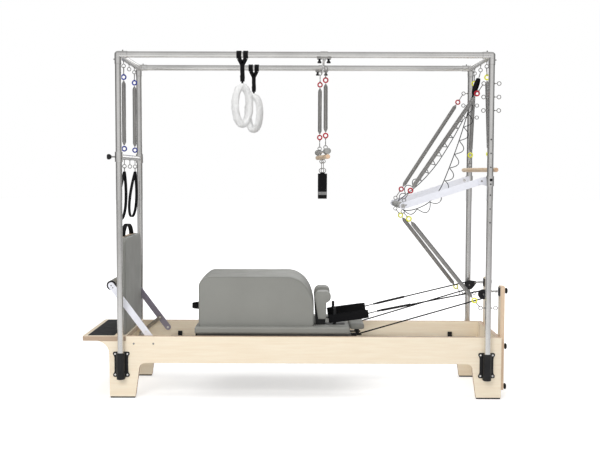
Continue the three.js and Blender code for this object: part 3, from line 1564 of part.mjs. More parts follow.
// A point on a line that is skewed about the trapeze's middle, at a value of Y.
const skewX = (y) => trapezeX - (trapezeSkewX * y) / trapezeEyeY;
{
  const half = trapezeHalf;
  const at = (y, z) => v(skewX(y), y, z);
  const pieces = [rod(at(-half, woodBarZ), at(half, woodBarZ), woodBarRadius, 8)];
  pieces.push(rod(at(-half, gripBarZ), at(half, gripBarZ), gripBarRadius, rodSides));
  for (const { name, s } of sides) {
    pieces.push(rod(at(s * half, gripBarZ), at(s * (half - gripLength), gripBarZ), gripRadius, 8));
    for (const y of [s * (half - gripLength - 2 * overrun)]) {
      pieces.push(rod(at(y, woodBarZ), at(y, gripBarZ), gripBarRadius * 0.7, smallSides));
    }
    const upper = at(s * (half - gripLength - 4 * overrun), gripBarZ + gripBarRadius + 1.5 * eyeRadius);
    const lower = at(s * slingHalfSpan, trapezeLowerEye);
    pieces.push(
      rod(at(upper.y, gripBarZ), upper.clone().add(v(0, 0, -eyeRadius)), eyeWire, smallSides),
      eyeRing(upper),
      eyebolt(at(lower.y, woodBarZ), lower),
    );
    const hung = v(trapezeX - s * trapezeSkewX, s * trapezeEyeY, sliderZ - sliderBarRadius - trapezeEyeDrop);
    addNode(`trapeze_spring_${name}`, ringSpring(hung, upper, trapezeHook, trapezeHook), springGrey);
  }
  addNode("trapeze_bar", join(...pieces), dowelWood);

  // Sling: a wide webbing U on a link and a ring at each side.
  const steps = 10;
  const points = [];
  for (let i = 0; i <= steps; i++) {
    const angle = Math.PI * (i / steps);
    const y = -slingHalfSpan * Math.cos(angle);
    points.push(v(trapezeX, y, slingTop - (slingTop - slingBottom) * Math.sin(angle) ** 0.5));
  }
  const slingPieces = [band(points, v(1, 0, 0), slingWidth, slingThickness)];
  for (const { s } of sides) {
    const eye = at(s * slingHalfSpan, trapezeLowerEye);
    const ringAt = v(eye.x, eye.y, eye.z - slingHook);
    slingPieces.push(
      lay(hookLink(catchStart, slingHook - slingRingRadius), eye, ringAt),
      ring(ringAt, v(0, 1, 0), slingRingRadius, hookWire * 1.2, 8, 3),
      rod(v(ringAt.x, ringAt.y, ringAt.z - slingRingRadius),
        v(trapezeX, s * slingHalfSpan, slingTop - overrun), hookWire * 2, smallSides),
    );
  }
  addNode("sling", join(...slingPieces), webbing);
}

// Fleece loops, each hung by a strap that is wrapped twice round a top tube.
for (const { name, s } of sides) {
  const x = s < 0 ? frontFleeceX : backFleeceX;
  const y = s * postY;
  const z = topTubeHeight;
  const pieces = [];
  for (const dx of [-wrapSpread, wrapSpread]) {
    const start = v(x + dx - wrapWidth / 2, y, z);
    const end = v(x + dx + wrapWidth / 2, y, z);
    const halfStep = Math.PI / tubeSides;
    const outer = tubeRadius + pinGap + 2 * wrapWall;
    const bore = boreFor(start, end, tubeRadius, pinGap, tubeSides, halfStep);
    const under = v(x + dx, y, z - tubeRadius - pinGap - wrapWall);
    const meet = v(x, y, fleeceStrapTop);
    const side = meet.clone().sub(under).cross(v(0, 1, 0));
    const leg = band([under, meet], side, fleeceStrapWidth, strapThickness);
    pieces.push(cut(join(rod(start, end, outer, tubeSides, outer, halfStep), leg), bore));
  }
  const loopTop = fleeceCentreZ + fleeceHalfHeight;
  pieces.push(
    band([v(x, y, fleeceStrapTop + overrun), v(x, y, fleeceStrapBottom)], v(1, 0, 0), fleeceStrapWidth,
      strapThickness),
    rod(v(x, y, fleeceStrapBottom + overrun), v(x, y, loopTop), hookWire * 3, rodSides),
  );
  const steps = 12;
  const centre = [];
  for (let i = 0; i < steps; i++) {
    const angle = (2 * Math.PI * i) / steps;
    centre.push(v(x + fleeceHalfWidth * Math.sin(angle), y,
      fleeceCentreZ + fleeceHalfHeight * Math.cos(angle)));
  }
  const rings = centre.map((p, i) => {
    const along = centre[(i + 1) % steps].clone().sub(centre[(i + steps - 1) % steps]).normalize();
    const out = along.clone().cross(v(0, 1, 0));
    return Array.from({ length: 6 }, (_, j) => {
      const angle = (2 * Math.PI * j) / 6;
      return p
        .clone()
        .addScaledVector(out, fleeceTube * Math.cos(angle))
        .addScaledVector(v(0, 1, 0), fleeceDepth * Math.sin(angle));
    });
  });
  pieces.push(loft(rings, true));
  addNode(`fleece_loop_${name}`, join(...pieces), fleece);
}

// Curly cords: a straight core with a cord wound loosely beside it, to the right or to the left.
function curlyCord(route, curls, hand) {
  const path = new THREE.CatmullRomCurve3(route, false, "centripetal");
  const steps = curls * 8;
  const points = [];
  for (let i = 0; i <= steps; i++) {
    const share = i / steps;
    const along = path.getTangentAt(share);
    const side = along.clone().cross(v(0, 1, 0)).normalize();
    const depth = along.clone().cross(side).normalize();
    const angle = (2 * Math.PI * i) / 8;
    const ease = Math.min(1, share * curls, (1 - share) * curls);
    points.push(
      path
        .getPointAt(share)
        .addScaledVector(side, hand * ease * (curlClear + curlRadius * (1 - Math.cos(angle))))
        .addScaledVector(depth, curlRadius * ease * Math.sin(angle)),
    );
  }
  noteLeastGap(points, curlWire, 6);
  return join(loft(wireRings(points, curlWire, 3)), cord(route, cordWire, coreSteps, 3));
}

const backCordRoute = [
  [1094, 350, 1781.2],
  [1011, 300, 1640],
  [896, 250, 1468],
  [782, 200, 1346],
  [669, 140, 1259],
  [625.4, 120, 1224.8],
].map((p) => v(...p));
const frontCordRoute = [
  [1085, 0, 1890],
  [1003, -60, 1640],
  [916, -120, 1420],
  [848, -200, 1297],
  [777, -246, 1226],
  [690, -262, 1186],
  [646, -262, 1179],
  [622, -262, 1182],
  [614, -262, 1193.4],
].map((p) => v(...p));
addNode("curly_cord_back", curlyCord(backCordRoute, curlCount, -1), webbing);
{
  // The front cord hangs from the middle eye by a link, a turned webbing loop and a strap.
  const top = v(postX, 0, topTubeHeight - eyeDrop - eyeRadius - eyeWire - gap);
  const loopTop = v(postX - eyeRadius, 0, topTubeHeight - cordStrapDrop);
  const down = frontCordRoute[0].clone().sub(loopTop).normalize();
  const loopFoot = loopTop.clone().addScaledVector(down, cordLoopLength);
  const flat = down.clone().cross(v(0, 1, 0));
  const turn = Math.PI * loopTurnShare;
  const across = flat.clone().multiplyScalar(Math.cos(turn)).addScaledVector(v(0, 1, 0), Math.sin(turn));
  const side = flat.clone().multiplyScalar(-Math.sin(turn)).addScaledVector(v(0, 1, 0), Math.cos(turn));
  const steps = 10;
  const loop = [];
  for (let i = 0; i < steps; i++) {
    const angle = (2 * Math.PI * i) / steps;
    const share = (1 - Math.cos(angle)) / 2;
    loop.push(loopTop.clone().lerp(loopFoot, share).addScaledVector(across, cordLoopHalf * Math.sin(angle)));
  }
  const strap = join(
    rod(top, loopTop, hookWire, smallSides),
    band(loop, side, cordLoopWidth, strapThickness, true),
    band([loopFoot, frontCordRoute[0].clone().addScaledVector(down, overrun)], flat, cordLoopWidth / 2,
      strapThickness),
  );
  addNode("curly_cord_front", join(curlyCord(frontCordRoute, curlCount, 1), strap), webbing);
}

tower.position.x = -overallMiddle;
console.log(`least gap of a wound form to itself: ${Math.min(...gapsFound).toFixed(2)} mm`);

export default tower;
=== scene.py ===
"""Looks of the pilates tower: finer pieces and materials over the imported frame, in the same frame."""

from math import atan2, cos, hypot, pi, radians, sin

import bmesh
import bpy
from mathutils import Matrix, Vector, noise


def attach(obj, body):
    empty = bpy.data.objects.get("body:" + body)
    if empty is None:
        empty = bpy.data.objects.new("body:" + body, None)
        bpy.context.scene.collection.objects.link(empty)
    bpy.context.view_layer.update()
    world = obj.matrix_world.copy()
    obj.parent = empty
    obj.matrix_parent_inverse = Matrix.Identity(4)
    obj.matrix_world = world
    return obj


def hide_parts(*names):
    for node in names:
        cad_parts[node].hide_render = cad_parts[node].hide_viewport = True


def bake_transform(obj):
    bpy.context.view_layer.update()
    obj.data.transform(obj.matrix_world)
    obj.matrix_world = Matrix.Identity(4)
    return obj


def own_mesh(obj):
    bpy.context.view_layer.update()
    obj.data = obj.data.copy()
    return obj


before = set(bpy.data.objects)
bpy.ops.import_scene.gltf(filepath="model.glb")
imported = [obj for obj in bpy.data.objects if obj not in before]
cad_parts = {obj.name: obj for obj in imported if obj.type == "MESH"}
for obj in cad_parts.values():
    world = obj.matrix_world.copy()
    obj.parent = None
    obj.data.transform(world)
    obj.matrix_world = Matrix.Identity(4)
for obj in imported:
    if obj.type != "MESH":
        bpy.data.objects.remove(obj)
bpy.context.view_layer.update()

# Pieces are drawn in millimetres. The row frame's X is this much more than the drawing's X.
SHIFT = 51.35
SIDES = (("front", -1), ("back", 1))
ENDS = (("left", -1), ("right", 1))
ROUND = 56  # sides of the tower's tubes


def V(x, y, z):
    return Vector((x, y, z))


X_AXIS, Y_AXIS, Z_AXIS = V(1, 0, 0), V(0, 1, 0), V(0, 0, 1)


def row(x, y, z):
    """A drawing point in the row frame, in metres."""
    return ((x + SHIFT) / 1000, y / 1000, z / 1000)


# Camera, solved from the frame's corners in the photograph
def place_camera():
    yaw, pitch, roll = radians(-0.24), radians(3.32), radians(0.17)
    forward = V(sin(yaw) * cos(pitch), cos(yaw) * cos(pitch), -sin(pitch))
    right = V(cos(yaw), -sin(yaw), 0)
    up = right.cross(forward)
    across = right * cos(roll) + up * sin(roll)
    upward = up * cos(roll) - right * sin(roll)
    data = bpy.data.cameras.new("camera")
    data.lens, data.sensor_width = 54, 36
    camera = bpy.data.objects.new("camera", data)
    turned = Matrix((across, upward, -forward)).transposed().to_4x4()
    camera.matrix_world = Matrix.Translation(row(-2.8, -5893.1, 1412.3)) @ turned
    bpy.context.scene.collection.objects.link(camera)
    bpy.context.scene.camera = camera


place_camera()


# Materials
class Graph:
    """Shader nodes of a material or of the world."""

    def __init__(self, tree):
        self.tree = tree

    def node(self, kind, sockets=None, **settings):
        """A new node; each socket gets a value or a wire from another node."""
        made = self.tree.nodes.new("ShaderNode" + kind)
        for key, value in settings.items():
            setattr(made, key, value)
        self.feed(made, sockets or {})
        return made

    def feed(self, node, sockets):
        for key, value in sockets.items():
            if isinstance(value, bpy.types.NodeSocket):
                self.tree.links.new(value, node.inputs[key])
            else:
                node.inputs[key].default_value = value

    def span(self, value, low, high, to_low, to_high):
        """Maps low..high to to_low..to_high."""
        ends = {"Value": value, "From Min": low, "From Max": high, "To Min": to_low, "To Max": to_high}
        return self.node("MapRange", ends).outputs["Result"]


class Shade(Graph):
    """A procedural material: a Principled shader with noise, ramps and bumps in the row frame."""

    def __init__(self, name, color, roughness, metallic=0.0, **sockets):
        self.mat = bpy.data.materials.new(name)
        self.mat.use_nodes = True
        super().__init__(self.mat.node_tree)
        self.skin = self.tree.nodes["Principled BSDF"]
        self.feed(self.skin, {"Base Color": (*color, 1), "Roughness": roughness, "Metallic": metallic})
        self.feed(self.skin, {key.replace("_", " "): value for key, value in sockets.items()})
        self.coordinates = self.node("TexCoord")
        self.relief = None

    def place(self, stretch=(1, 1, 1), turn=(0, 0, 0)):
        sockets = {"Scale": stretch, "Rotation": turn, "Vector": self.coordinates.outputs["Object"]}
        return self.node("Mapping", sockets).outputs["Vector"]

    def noise(self, scale, detail=3, stretch=(1, 1, 1), rough=0.5):
        sockets = {"Scale": scale, "Detail": detail, "Roughness": rough, "Vector": self.place(stretch)}
        return self.node("TexNoise", sockets).outputs["Fac"]

    def cells(self, scale):
        return self.node("TexVoronoi", {"Scale": scale, "Vector": self.place()}).outputs["Distance"]

    def bands(self, scale, direction="X", turn=(0, 0, 0)):
        sockets = {"Scale": scale, "Vector": self.place(turn=turn)}
        return self.node("TexWave", sockets, bands_direction=direction).outputs["Fac"]

    def math(self, operation, a, b):
        return self.node("Math", {0: a, 1: b}, operation=operation).outputs[0]

    def ramp(self, factor, low, high, start=0.3, end=0.7):
        made = self.node("ValToRGB", {"Fac": factor})
        for stop, color, at in zip(made.color_ramp.elements, (low, high), (start, end)):
            stop.color, stop.position = (*color, 1), at
        return made.outputs["Color"]

    def blend(self, factor, a, b):
        return self.node("Mix", {"Factor": factor, 6: a, 7: b}, data_type="RGBA").outputs[2]

    def facing(self, axis, more_than):
        """1 on the faces that look along an axis, and 0 elsewhere."""
        split = self.node("SeparateXYZ", {"Vector": self.coordinates.outputs["Normal"]})
        return self.math("GREATER_THAN", self.math("ABSOLUTE", split.outputs[axis], 0), more_than)

    def paint(self, color):
        self.feed(self.skin, {"Base Color": color})

    def vary_roughness(self, factor, low, high):
        self.feed(self.skin, {"Roughness": self.span(factor, 0.3, 0.7, low, high)})

    def bump(self, height, distance, strength=1.0):
        sockets = {"Distance": distance, "Strength": strength, "Height": height}
        if self.relief:
            sockets["Normal"] = self.relief
        self.relief = self.node("Bump", sockets).outputs["Normal"]
        self.feed(self.skin, {"Normal": self.relief})
        return self


GRAIN_STRETCH, BROAD_STRETCH = 14, 5


def plywood(name, grain, face_axis, edge_light=1.0):
    """Birch plywood: a fine grain along one axis, and glued layers on every edge face."""
    shade = Shade(name, (0.90, 0.79, 0.62), 0.45, Coat_Weight=0.1, Coat_Roughness=0.3)

    # edge_light scales the colours of the edge faces: above 1 it paints light onto them, below 1 it paints
    # shade.
    def lit(*color):
        return tuple(min(0.9, c * edge_light) for c in color)

    def along(stretch):
        return tuple(1 if axis == grain else stretch for axis in "XYZ")

    fine = shade.noise(5, 6, along(GRAIN_STRETCH), 0.6)
    broad = shade.noise(1.3, 3, along(BROAD_STRETCH))
    face = shade.blend(
        broad,
        shade.ramp(fine, (0.89, 0.75, 0.56), (0.95, 0.84, 0.66)),
        shade.ramp(fine, (0.92, 0.79, 0.61), (0.97, 0.87, 0.70)),
    )
    layers = shade.bands(62, face_axis)
    edge = shade.blend(
        shade.noise(90, 2),
        shade.ramp(layers, lit(0.56, 0.38, 0.26), lit(0.74, 0.58, 0.43), 0.35, 0.6),
        shade.ramp(layers, lit(0.50, 0.34, 0.23), lit(0.68, 0.52, 0.38), 0.35, 0.6),
    )
    shade.paint(shade.blend(shade.facing(face_axis, 0.7), edge, face))
    return shade.bump(fine, 0.0002, 0.4)


def leather(name, color, lighter):
    shade = Shade(name, color, 0.46, Sheen_Weight=0.06, Sheen_Roughness=0.5)
    shade.paint(shade.ramp(shade.noise(3.2, 4), color, lighter, 0.25, 0.75))
    shade.vary_roughness(shade.noise(11, 4), 0.42, 0.56)
    shade.bump(shade.cells(620), 0.0002, 0.35)
    return shade.bump(shade.noise(7, 3), 0.0025, 0.35)


def metal(name, color, roughness, streak=(1, 1, 1), metallic=1.0, relief=0.25):
    shade = Shade(name, color, roughness, metallic)
    darker = tuple(0.86 * c for c in color)
    shade.paint(shade.ramp(shade.noise(4, 3), darker, color, 0.3, 0.6))
    shade.vary_roughness(shade.noise(60, 3, streak), roughness - 0.05, roughness + 0.05)
    return shade.bump(shade.noise(500, 2, streak), 0.00005, relief)


def weave(name, color, dark, scale=260):
    """Webbing: ribs that cross at a slant, the same on every strap."""
    shade = Shade(name, color, 0.85, Sheen_Weight=0.03, Sheen_Roughness=0.4, Specular_IOR_Level=0.2)
    cross = shade.math("MAXIMUM", shade.bands(scale, "DIAGONAL"),
        shade.bands(scale, "DIAGONAL", (0, pi / 2, 0.6)))
    shade.paint(shade.ramp(cross, dark, color, 0.2, 0.8))
    return shade.bump(cross, 0.0006, 0.6)


def plastic(name, color, roughness, grain=900, depth=0.00012):
    shade = Shade(name, color, roughness, Specular_IOR_Level=0.25)
    light = tuple(min(1, 1.35 * c + 0.004) for c in color)
    shade.paint(shade.ramp(shade.noise(16, 3), color, light, 0.35, 0.75))
    shade.vary_roughness(shade.noise(30, 2), roughness - 0.06, roughness + 0.06)
    return shade.bump(shade.cells(grain), depth, 0.3)


birch_long = plywood("birch_along", "X", "Y")
# The platform's edge faces are darkened as painted shade.
birch_flat = plywood("birch_platform", "Y", "Z", 0.8)
birch_end = plywood("birch_end", "Z", "X")
# The edge faces of the jump board and risers are lightened as painted light.
birch_painted_light = plywood("birch_painted_light_edge", "Z", "X", 1.35)
steel = metal("stainless_steel", (0.76, 0.75, 0.735), 0.2, relief=0.08)
dark_steel = metal("dark_steel", (0.42, 0.41, 0.40), 0.3)
wire_steel = metal("wire_steel", (0.38, 0.37, 0.36), 0.3)
bright_steel = metal("bright_steel", (0.9, 0.89, 0.88), 0.35, metallic=0.6)
coil_steel = metal("coil_steel", (0.50, 0.49, 0.475), 0.42, metallic=0.8)
chassis_metal = metal("chassis_aluminium", (0.20, 0.20, 0.205), 0.45)
arm_metal = metal("pearl_aluminium", (0.91, 0.92, 0.99), 0.4, metallic=0.1)
# A darker copy of the pearl aluminium: painted shade for the foot bar's back arm.
arm_metal_painted_shade = metal("pearl_aluminium_painted_shade", (0.36, 0.33, 0.41), 0.4, metallic=0.4)
rail_metal = metal("rail_aluminium", (0.66, 0.66, 0.67), 0.35, (0.05, 1, 1))
brass = metal("brass", (0.72, 0.5, 0.2), 0.3)
black = plastic("black_moulding", (0.012, 0.012, 0.013), 0.42)
rubber = plastic("black_rubber", (0.016, 0.016, 0.017), 0.75, 500)
grip = plastic("charcoal_grip", (0.028, 0.030, 0.033), 0.7, 420, 0.0006)
vinyl = leather("grey_vinyl", (0.250, 0.251, 0.231), (0.287, 0.288, 0.267))
welt = leather("grey_welt", (0.20, 0.202, 0.185), (0.24, 0.243, 0.225))
foam = plastic("grey_foam", (0.30, 0.30, 0.29), 0.9, 700, 0.0008)
webbing = weave("black_webbing", (0.008, 0.008, 0.009), (0.003, 0.003, 0.0035))
# A grey copy of the webbing, laid on the sling's bend as a painted highlight.
painted_highlight_webbing = weave("webbing_painted_highlight", (0.30, 0.30, 0.30), (0.16, 0.16, 0.16))
rope_cloth = weave("black_rope", (0.010, 0.010, 0.011), (0.004, 0.004, 0.005), 420)
cord_cloth = weave("dark_cord", (0.05, 0.052, 0.055), (0.02, 0.02, 0.022), 500)
blue_ring = plastic("blue_ring", (0.02, 0.035, 0.26), 0.4)
red_ring = plastic("red_ring", (0.38, 0.004, 0.02), 0.4)
yellow_ring = plastic("yellow_ring", (0.74, 0.74, 0.05), 0.4)

dowel = Shade("dowel_wood", (0.70, 0.52, 0.35), 0.5)
grain = dowel.noise(40, 5, (1, 0.05, 1), 0.6)
dowel.paint(
    dowel.blend(
        dowel.facing("Y", 0.8),
        dowel.ramp(grain, (0.62, 0.46, 0.31), (0.76, 0.60, 0.43)),
        dowel.ramp(dowel.noise(120, 3), (0.72, 0.46, 0.29), (0.80, 0.56, 0.38)),
    )
)
dowel.bump(grain, 0.0003, 0.4)

fleece = Shade("white_fleece", (0.90, 0.90, 0.89), 1.0, Sheen_Weight=0.3, Sheen_Roughness=0.6,
    Subsurface_Weight=0.15)
fleece.feed(fleece.skin, {"Subsurface Radius": (0.01, 0.01, 0.01)})
fleece.paint(fleece.ramp(fleece.noise(140, 4), (0.84, 0.84, 0.835), (0.93, 0.93, 0.925)))
fleece.bump(fleece.noise(420, 3), 0.004, 0.9)
fleece.bump(fleece.noise(110, 3), 0.006, 0.8)


# Shapes. Each maker returns (points, faces) in drawing millimetres.
def angles(count):
    """A full turn in equal steps, in radians."""
    return [2 * pi * i / count for i in range(count)]


def headings(points, closed):
    """The direction of a path at each of its points."""
    count = len(points)
    for i, p in enumerate(points):
        before = points[i - 1] if closed or i else p
        after = points[(i + 1) % count] if closed or i + 1 < count else p
        yield after - before


def carried(points, closed, hint):
    """Two directions across a path at each point, carried along it without twist."""
    side, out = None, []
    for heading in headings(points, closed):
        along = heading.normalized()
        side = hint if side is None else side
        side = side - along * side.dot(along)
        if side.length < 1e-3:
            side = along.orthogonal()
        side.normalize()
        out.append((side.copy(), along.cross(side)))
    return out


def skin(rings, count, closed=False):
    """The faces between rings of count points each, with a cap on each open end."""
    faces = []
    for i in range(rings if closed else rings - 1):
        k = (i + 1) % rings
        for j in range(count):
            m = (j + 1) % count
            faces.append((i * count + j, i * count + m, k * count + m, k * count + j))
    if not closed:
        faces.append(tuple(reversed(range(count))))
        faces.append(tuple((rings - 1) * count + j for j in range(count)))
    return faces


def sweep(points, radius, sides=12, closed=False, hint=Y_AXIS):
    """A round tube along points; radius may be a list."""
    radii = radius if hasattr(radius, "__len__") else [radius] * len(points)
    verts = []
    for p, (a, b), r in zip(points, carried(points, closed, hint), radii):
        verts += [p + a * (r * cos(w)) + b * (r * sin(w)) for w in angles(sides)]
    return verts, skin(len(points), sides, closed)


def loft(rings, closed=False):
    return [p for ring in rings for p in ring], skin(len(rings), len(rings[0]), closed)


def rod(a, b, radius, sides=32):
    return sweep([a, b], radius, sides)


def rod_x(x0, x1, y, z, radius, sides=32):
    return rod(V(x0, y, z), V(x1, y, z), radius, sides)


def rod_y(x, y0, y1, z, radius, sides=32):
    return rod(V(x, y0, z), V(x, y1, z), radius, sides)


def rod_z(x, y, z0, z1, radius, sides=32):
    return rod(V(x, y, z0), V(x, y, z1), radius, sides)


def pipe(a, b, radius, wall, sides=48):
    """A tube that is open at both ends."""
    outer, _ = sweep([a, b], radius, sides)
    inner, _ = sweep([a, b], radius - wall, sides)
    verts, faces = outer + inner, []
    n = 2 * sides
    for j in range(sides):
        m = (j + 1) % sides
        faces += [(j, m, sides + m, sides + j), (n + m, n + j, n + sides + j, n + sides + m)]
        faces += [(m, j, n + j, n + m), (sides + j, sides + m, n + sides + m, n + sides + j)]
    return verts, faces


def circle(centre, axis, radius, steps):
    a = axis.orthogonal().normalized()
    b = axis.cross(a)
    return [centre + (a * cos(w) + b * sin(w)) * radius for w in angles(steps)]


def lathe(profile, start, direction, steps=32):
    """Turns (radius, height) pairs about a direction from a start point."""
    axis = direction.normalized()
    return loft([circle(start + axis * h, axis, max(r, 0.01), steps) for r, h in profile])


def ribbed(bore, shoulder, radius, lip, depth, pitch, ribs, run):
    """The profile of a foam grip: ribs between two soft ends."""
    middle = [(radius - depth * (i % 2), 4 + i * pitch) for i in range(ribs)]
    start = [(bore, 0), (shoulder, 0), (radius, lip)]
    return start + middle + [(r, run - h) for r, h in start[::-1]]


def ring(centre, axis, radius, wire, steps=32, sides=12):
    axis = axis.normalized()
    return sweep(circle(centre, axis, radius, steps), wire, sides, True, axis)


def oval(centre, across, along, straight):
    """A link's centre line: two half circles with straight sides between them."""
    half, points = 5.5, []
    for w in angles(20):
        lift = (straight if sin(w) >= 0 else -straight) + half * sin(w)
        points.append(centre + across * (half * cos(w)) + along * lift)
    return points


def plate(outline, axis, low, high):
    """An outline pushed along an axis: (Y, Z) for x, (X, Z) for y and (X, Y) for z."""
    order = {"x": (2, 0, 1), "y": (0, 2, 1), "z": (0, 1, 2)}[axis]
    return loft([[V(*((u, w, t)[k] for k in order)) for u, w in outline] for t in (low, high)])


def block(a, b):
    (x0, y0, z0), (x1, y1, z1) = a, b
    return plate([(x0, y0), (x1, y0), (x1, y1), (x0, y1)], "z", z0, z1)


def arc(cx, cz, rx, rz, start, end, steps=8):
    """Points on an ellipse about a centre, from one angle to another."""
    turns = [start + (end - start) * i / steps for i in range(steps + 1)]
    return [(cx + rx * cos(w), cz + rz * sin(w)) for w in turns]


def rounded_box(x0, x1, y0, y1, r, steps=8):
    """A rectangle with round corners."""
    corners = ((x0 + r, y0 + r), (x1 - r, y0 + r), (x1 - r, y1 - r), (x0 + r, y1 - r))
    out = []
    for k, (x, y) in enumerate(corners, 2):
        out += arc(x, y, r, r, k * pi / 2, (k + 1) * pi / 2, steps)
    return out


def curve(a, c, b, steps=10):
    """A quadratic curve from a to b with its control point at c."""
    out = []
    for t in (i / steps for i in range(steps + 1)):
        out.append(tuple((1 - t) ** 2 * p + 2 * t * (1 - t) * q + t * t * r for p, q, r in zip(a, c, b)))
    return out


def round_bar(x0, z0, x1, z1, width, y0, y1):
    w, r = atan2(z1 - z0, x1 - x0), width / 2
    outline = arc(x0, z0, r, r, w + pi / 2, w + 1.5 * pi, 14)
    return plate(outline + arc(x1, z1, r, r, w - pi / 2, w + pi / 2, 14), "y", y0, y1)


def band(points, side, width, thickness, closed=False):
    """A flat strap along points in a plane, with soft edges; side is the direction of its width."""
    side = side.normalized()
    h, t = width / 2, thickness / 2
    top = [(h - t * 0.4, t), (-h + t * 0.4, t), (-h, t * 0.3)]
    section = top + [(-h, -t * 0.3), (-h + t * 0.4, -t), (h - t * 0.4, -t), (h, -t * 0.3), (h, t * 0.3)]
    rings = []
    for p, heading in zip(points, headings(points, closed)):
        out = heading.cross(side).normalized()
        rings.append([p + side * u + out * w for u, w in section])
    return loft(rings, closed)


def cushion(low, high, edge, crown, steps, wrinkle):
    """A stuffed block: round edges, swollen faces and faint wrinkles."""
    mesh = bmesh.new()
    half, middle = (high - low) / 2, (high + low) / 2
    ease = [2 * i / steps - 1 for i in range(steps + 1)]
    ease = [(1 - (1 - abs(t)) ** 1.7) * (1 if t > 0 else -1) for t in ease]
    for axis in range(3):
        for sign in (-1, 1):
            grid = []
            for u in ease:
                line = []
                for w in ease:
                    p = [0, 0, 0]
                    p[axis], p[(axis + 1) % 3], p[(axis + 2) % 3] = sign, u * sign, w
                    line.append(mesh.verts.new(p))
                grid.append(line)
            for i in range(steps):
                for j in range(steps):
                    mesh.faces.new((grid[i][j], grid[i + 1][j], grid[i + 1][j + 1], grid[i][j + 1]))
    bmesh.ops.remove_doubles(mesh, verts=mesh.verts, dist=1e-5)
    for vert in mesh.verts:
        p = vert.co.copy()
        at = V(*(p[k] * half[k] for k in range(3)))
        core = V(*(max(-half[k] + edge, min(half[k] - edge, at[k])) for k in range(3)))
        away = at - core
        if away.length > 0:
            away.length = edge
        inwards = [1 - t ** 2 for t in p]
        swell = V(*(crown[k] * p[k] * inwards[(k + 1) % 3] * inwards[(k + 2) % 3] for k in range(3)))
        co = middle + core + away + swell
        vert.co = co + away.normalized() * wrinkle * noise.noise(co * 0.021)
    mesh.verts.index_update()
    out = [v.co.copy() for v in mesh.verts], [tuple(v.index for v in f.verts) for f in mesh.faces]
    mesh.free()
    return out


class Piece:
    """One object, built from parts that each have their own material."""

    def __init__(self, name):
        self.name, self.verts, self.faces, self.marks, self.shades = name, [], [], [], []
        self.tools = []

    def add(self, part, shade):
        points, faces = part
        if shade.mat not in self.shades:
            self.shades.append(shade.mat)
        base = len(self.verts)
        self.verts += points
        self.faces += [tuple(base + i for i in f) for f in faces]
        self.marks += [self.shades.index(shade.mat)] * len(faces)
        return self

    def cut(self, tool):
        """Cuts a closed part out of everything added so far."""
        self.tools.append(tool)
        return self

    def make(self, body, slot, *nodes, bevel=0.8, smooth=38, segments=2):
        obj = mesh_object(self.name, self.verts, self.faces)
        for shade in self.shades:
            obj.data.materials.append(shade)
        obj.data.polygons.foreach_set("material_index", self.marks)
        if self.tools:
            points, faces = [], []
            for verts, polys in self.tools:
                faces += [tuple(len(points) + i for i in f) for f in polys]
                points += verts
            tool = mesh_object("tool", points, faces)
            boolean = obj.modifiers.new("cut", "BOOLEAN")
            boolean.object, boolean.solver = tool, "EXACT"
            boolean.operation = "DIFFERENCE"
            graph = bpy.context.evaluated_depsgraph_get()
            obj.data = bpy.data.meshes.new_from_object(obj.evaluated_get(graph))
            obj.modifiers.clear()
            bpy.data.objects.remove(tool)
        obj.data.shade_smooth()
        obj.data.set_sharp_from_angle(angle=radians(smooth))
        if bevel:
            soft = obj.modifiers.new("edges", "BEVEL")
            soft.width, soft.segments, soft.limit_method = bevel / 1000, segments, "ANGLE"
            soft.angle_limit = radians(smooth)
            soft.harden_normals = True
        if nodes:
            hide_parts(*nodes)
        if isinstance(body, str):
            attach(obj, body)
        return obj


def mesh_object(name, verts, faces):
    data = bpy.data.meshes.new(name)
    data.from_pydata([row(*v) for v in verts], [], faces)
    mesh = bmesh.new()
    mesh.from_mesh(data)
    bmesh.ops.recalc_face_normals(mesh, faces=mesh.faces)
    mesh.to_mesh(data)
    mesh.free()
    data.update()
    obj = bpy.data.objects.new(name, data)
    bpy.context.scene.collection.objects.link(obj)
    return obj


# Small hardware
EYE, EYE_WIRE, HOOK_WIRE = 11.5, 2.5, 2.2
CATCH = EYE - EYE_WIRE - HOOK_WIRE


def eyebolt(piece, root, centre):
    """A wire from its root to the eye at centre."""
    towards = (centre - root).normalized()
    piece.add(rod(root, centre - towards * (EYE - EYE_WIRE * 0.6), EYE_WIRE, 16), wire_steel)
    piece.add(ring(centre, Y_AXIS, EYE, EYE_WIRE), wire_steel)


def screw(piece, face, out, radius, height, shade):
    """A round head with a recess on a face."""
    profile = [(0.01, -1), (radius, -1), (radius, height * 0.5), (radius * 0.82, height),
        (radius * 0.45, height)]
    profile += [(radius * 0.45, height * 0.3), (0.01, height * 0.3)]
    piece.add(lathe(profile, face, out, 20), shade)


def local_frame(start, end):
    """An origin and three axes, the last of them from start to end."""
    z = (end - start).normalized()
    x = Y_AXIS.cross(z).normalized()
    return start, x, z.cross(x), z


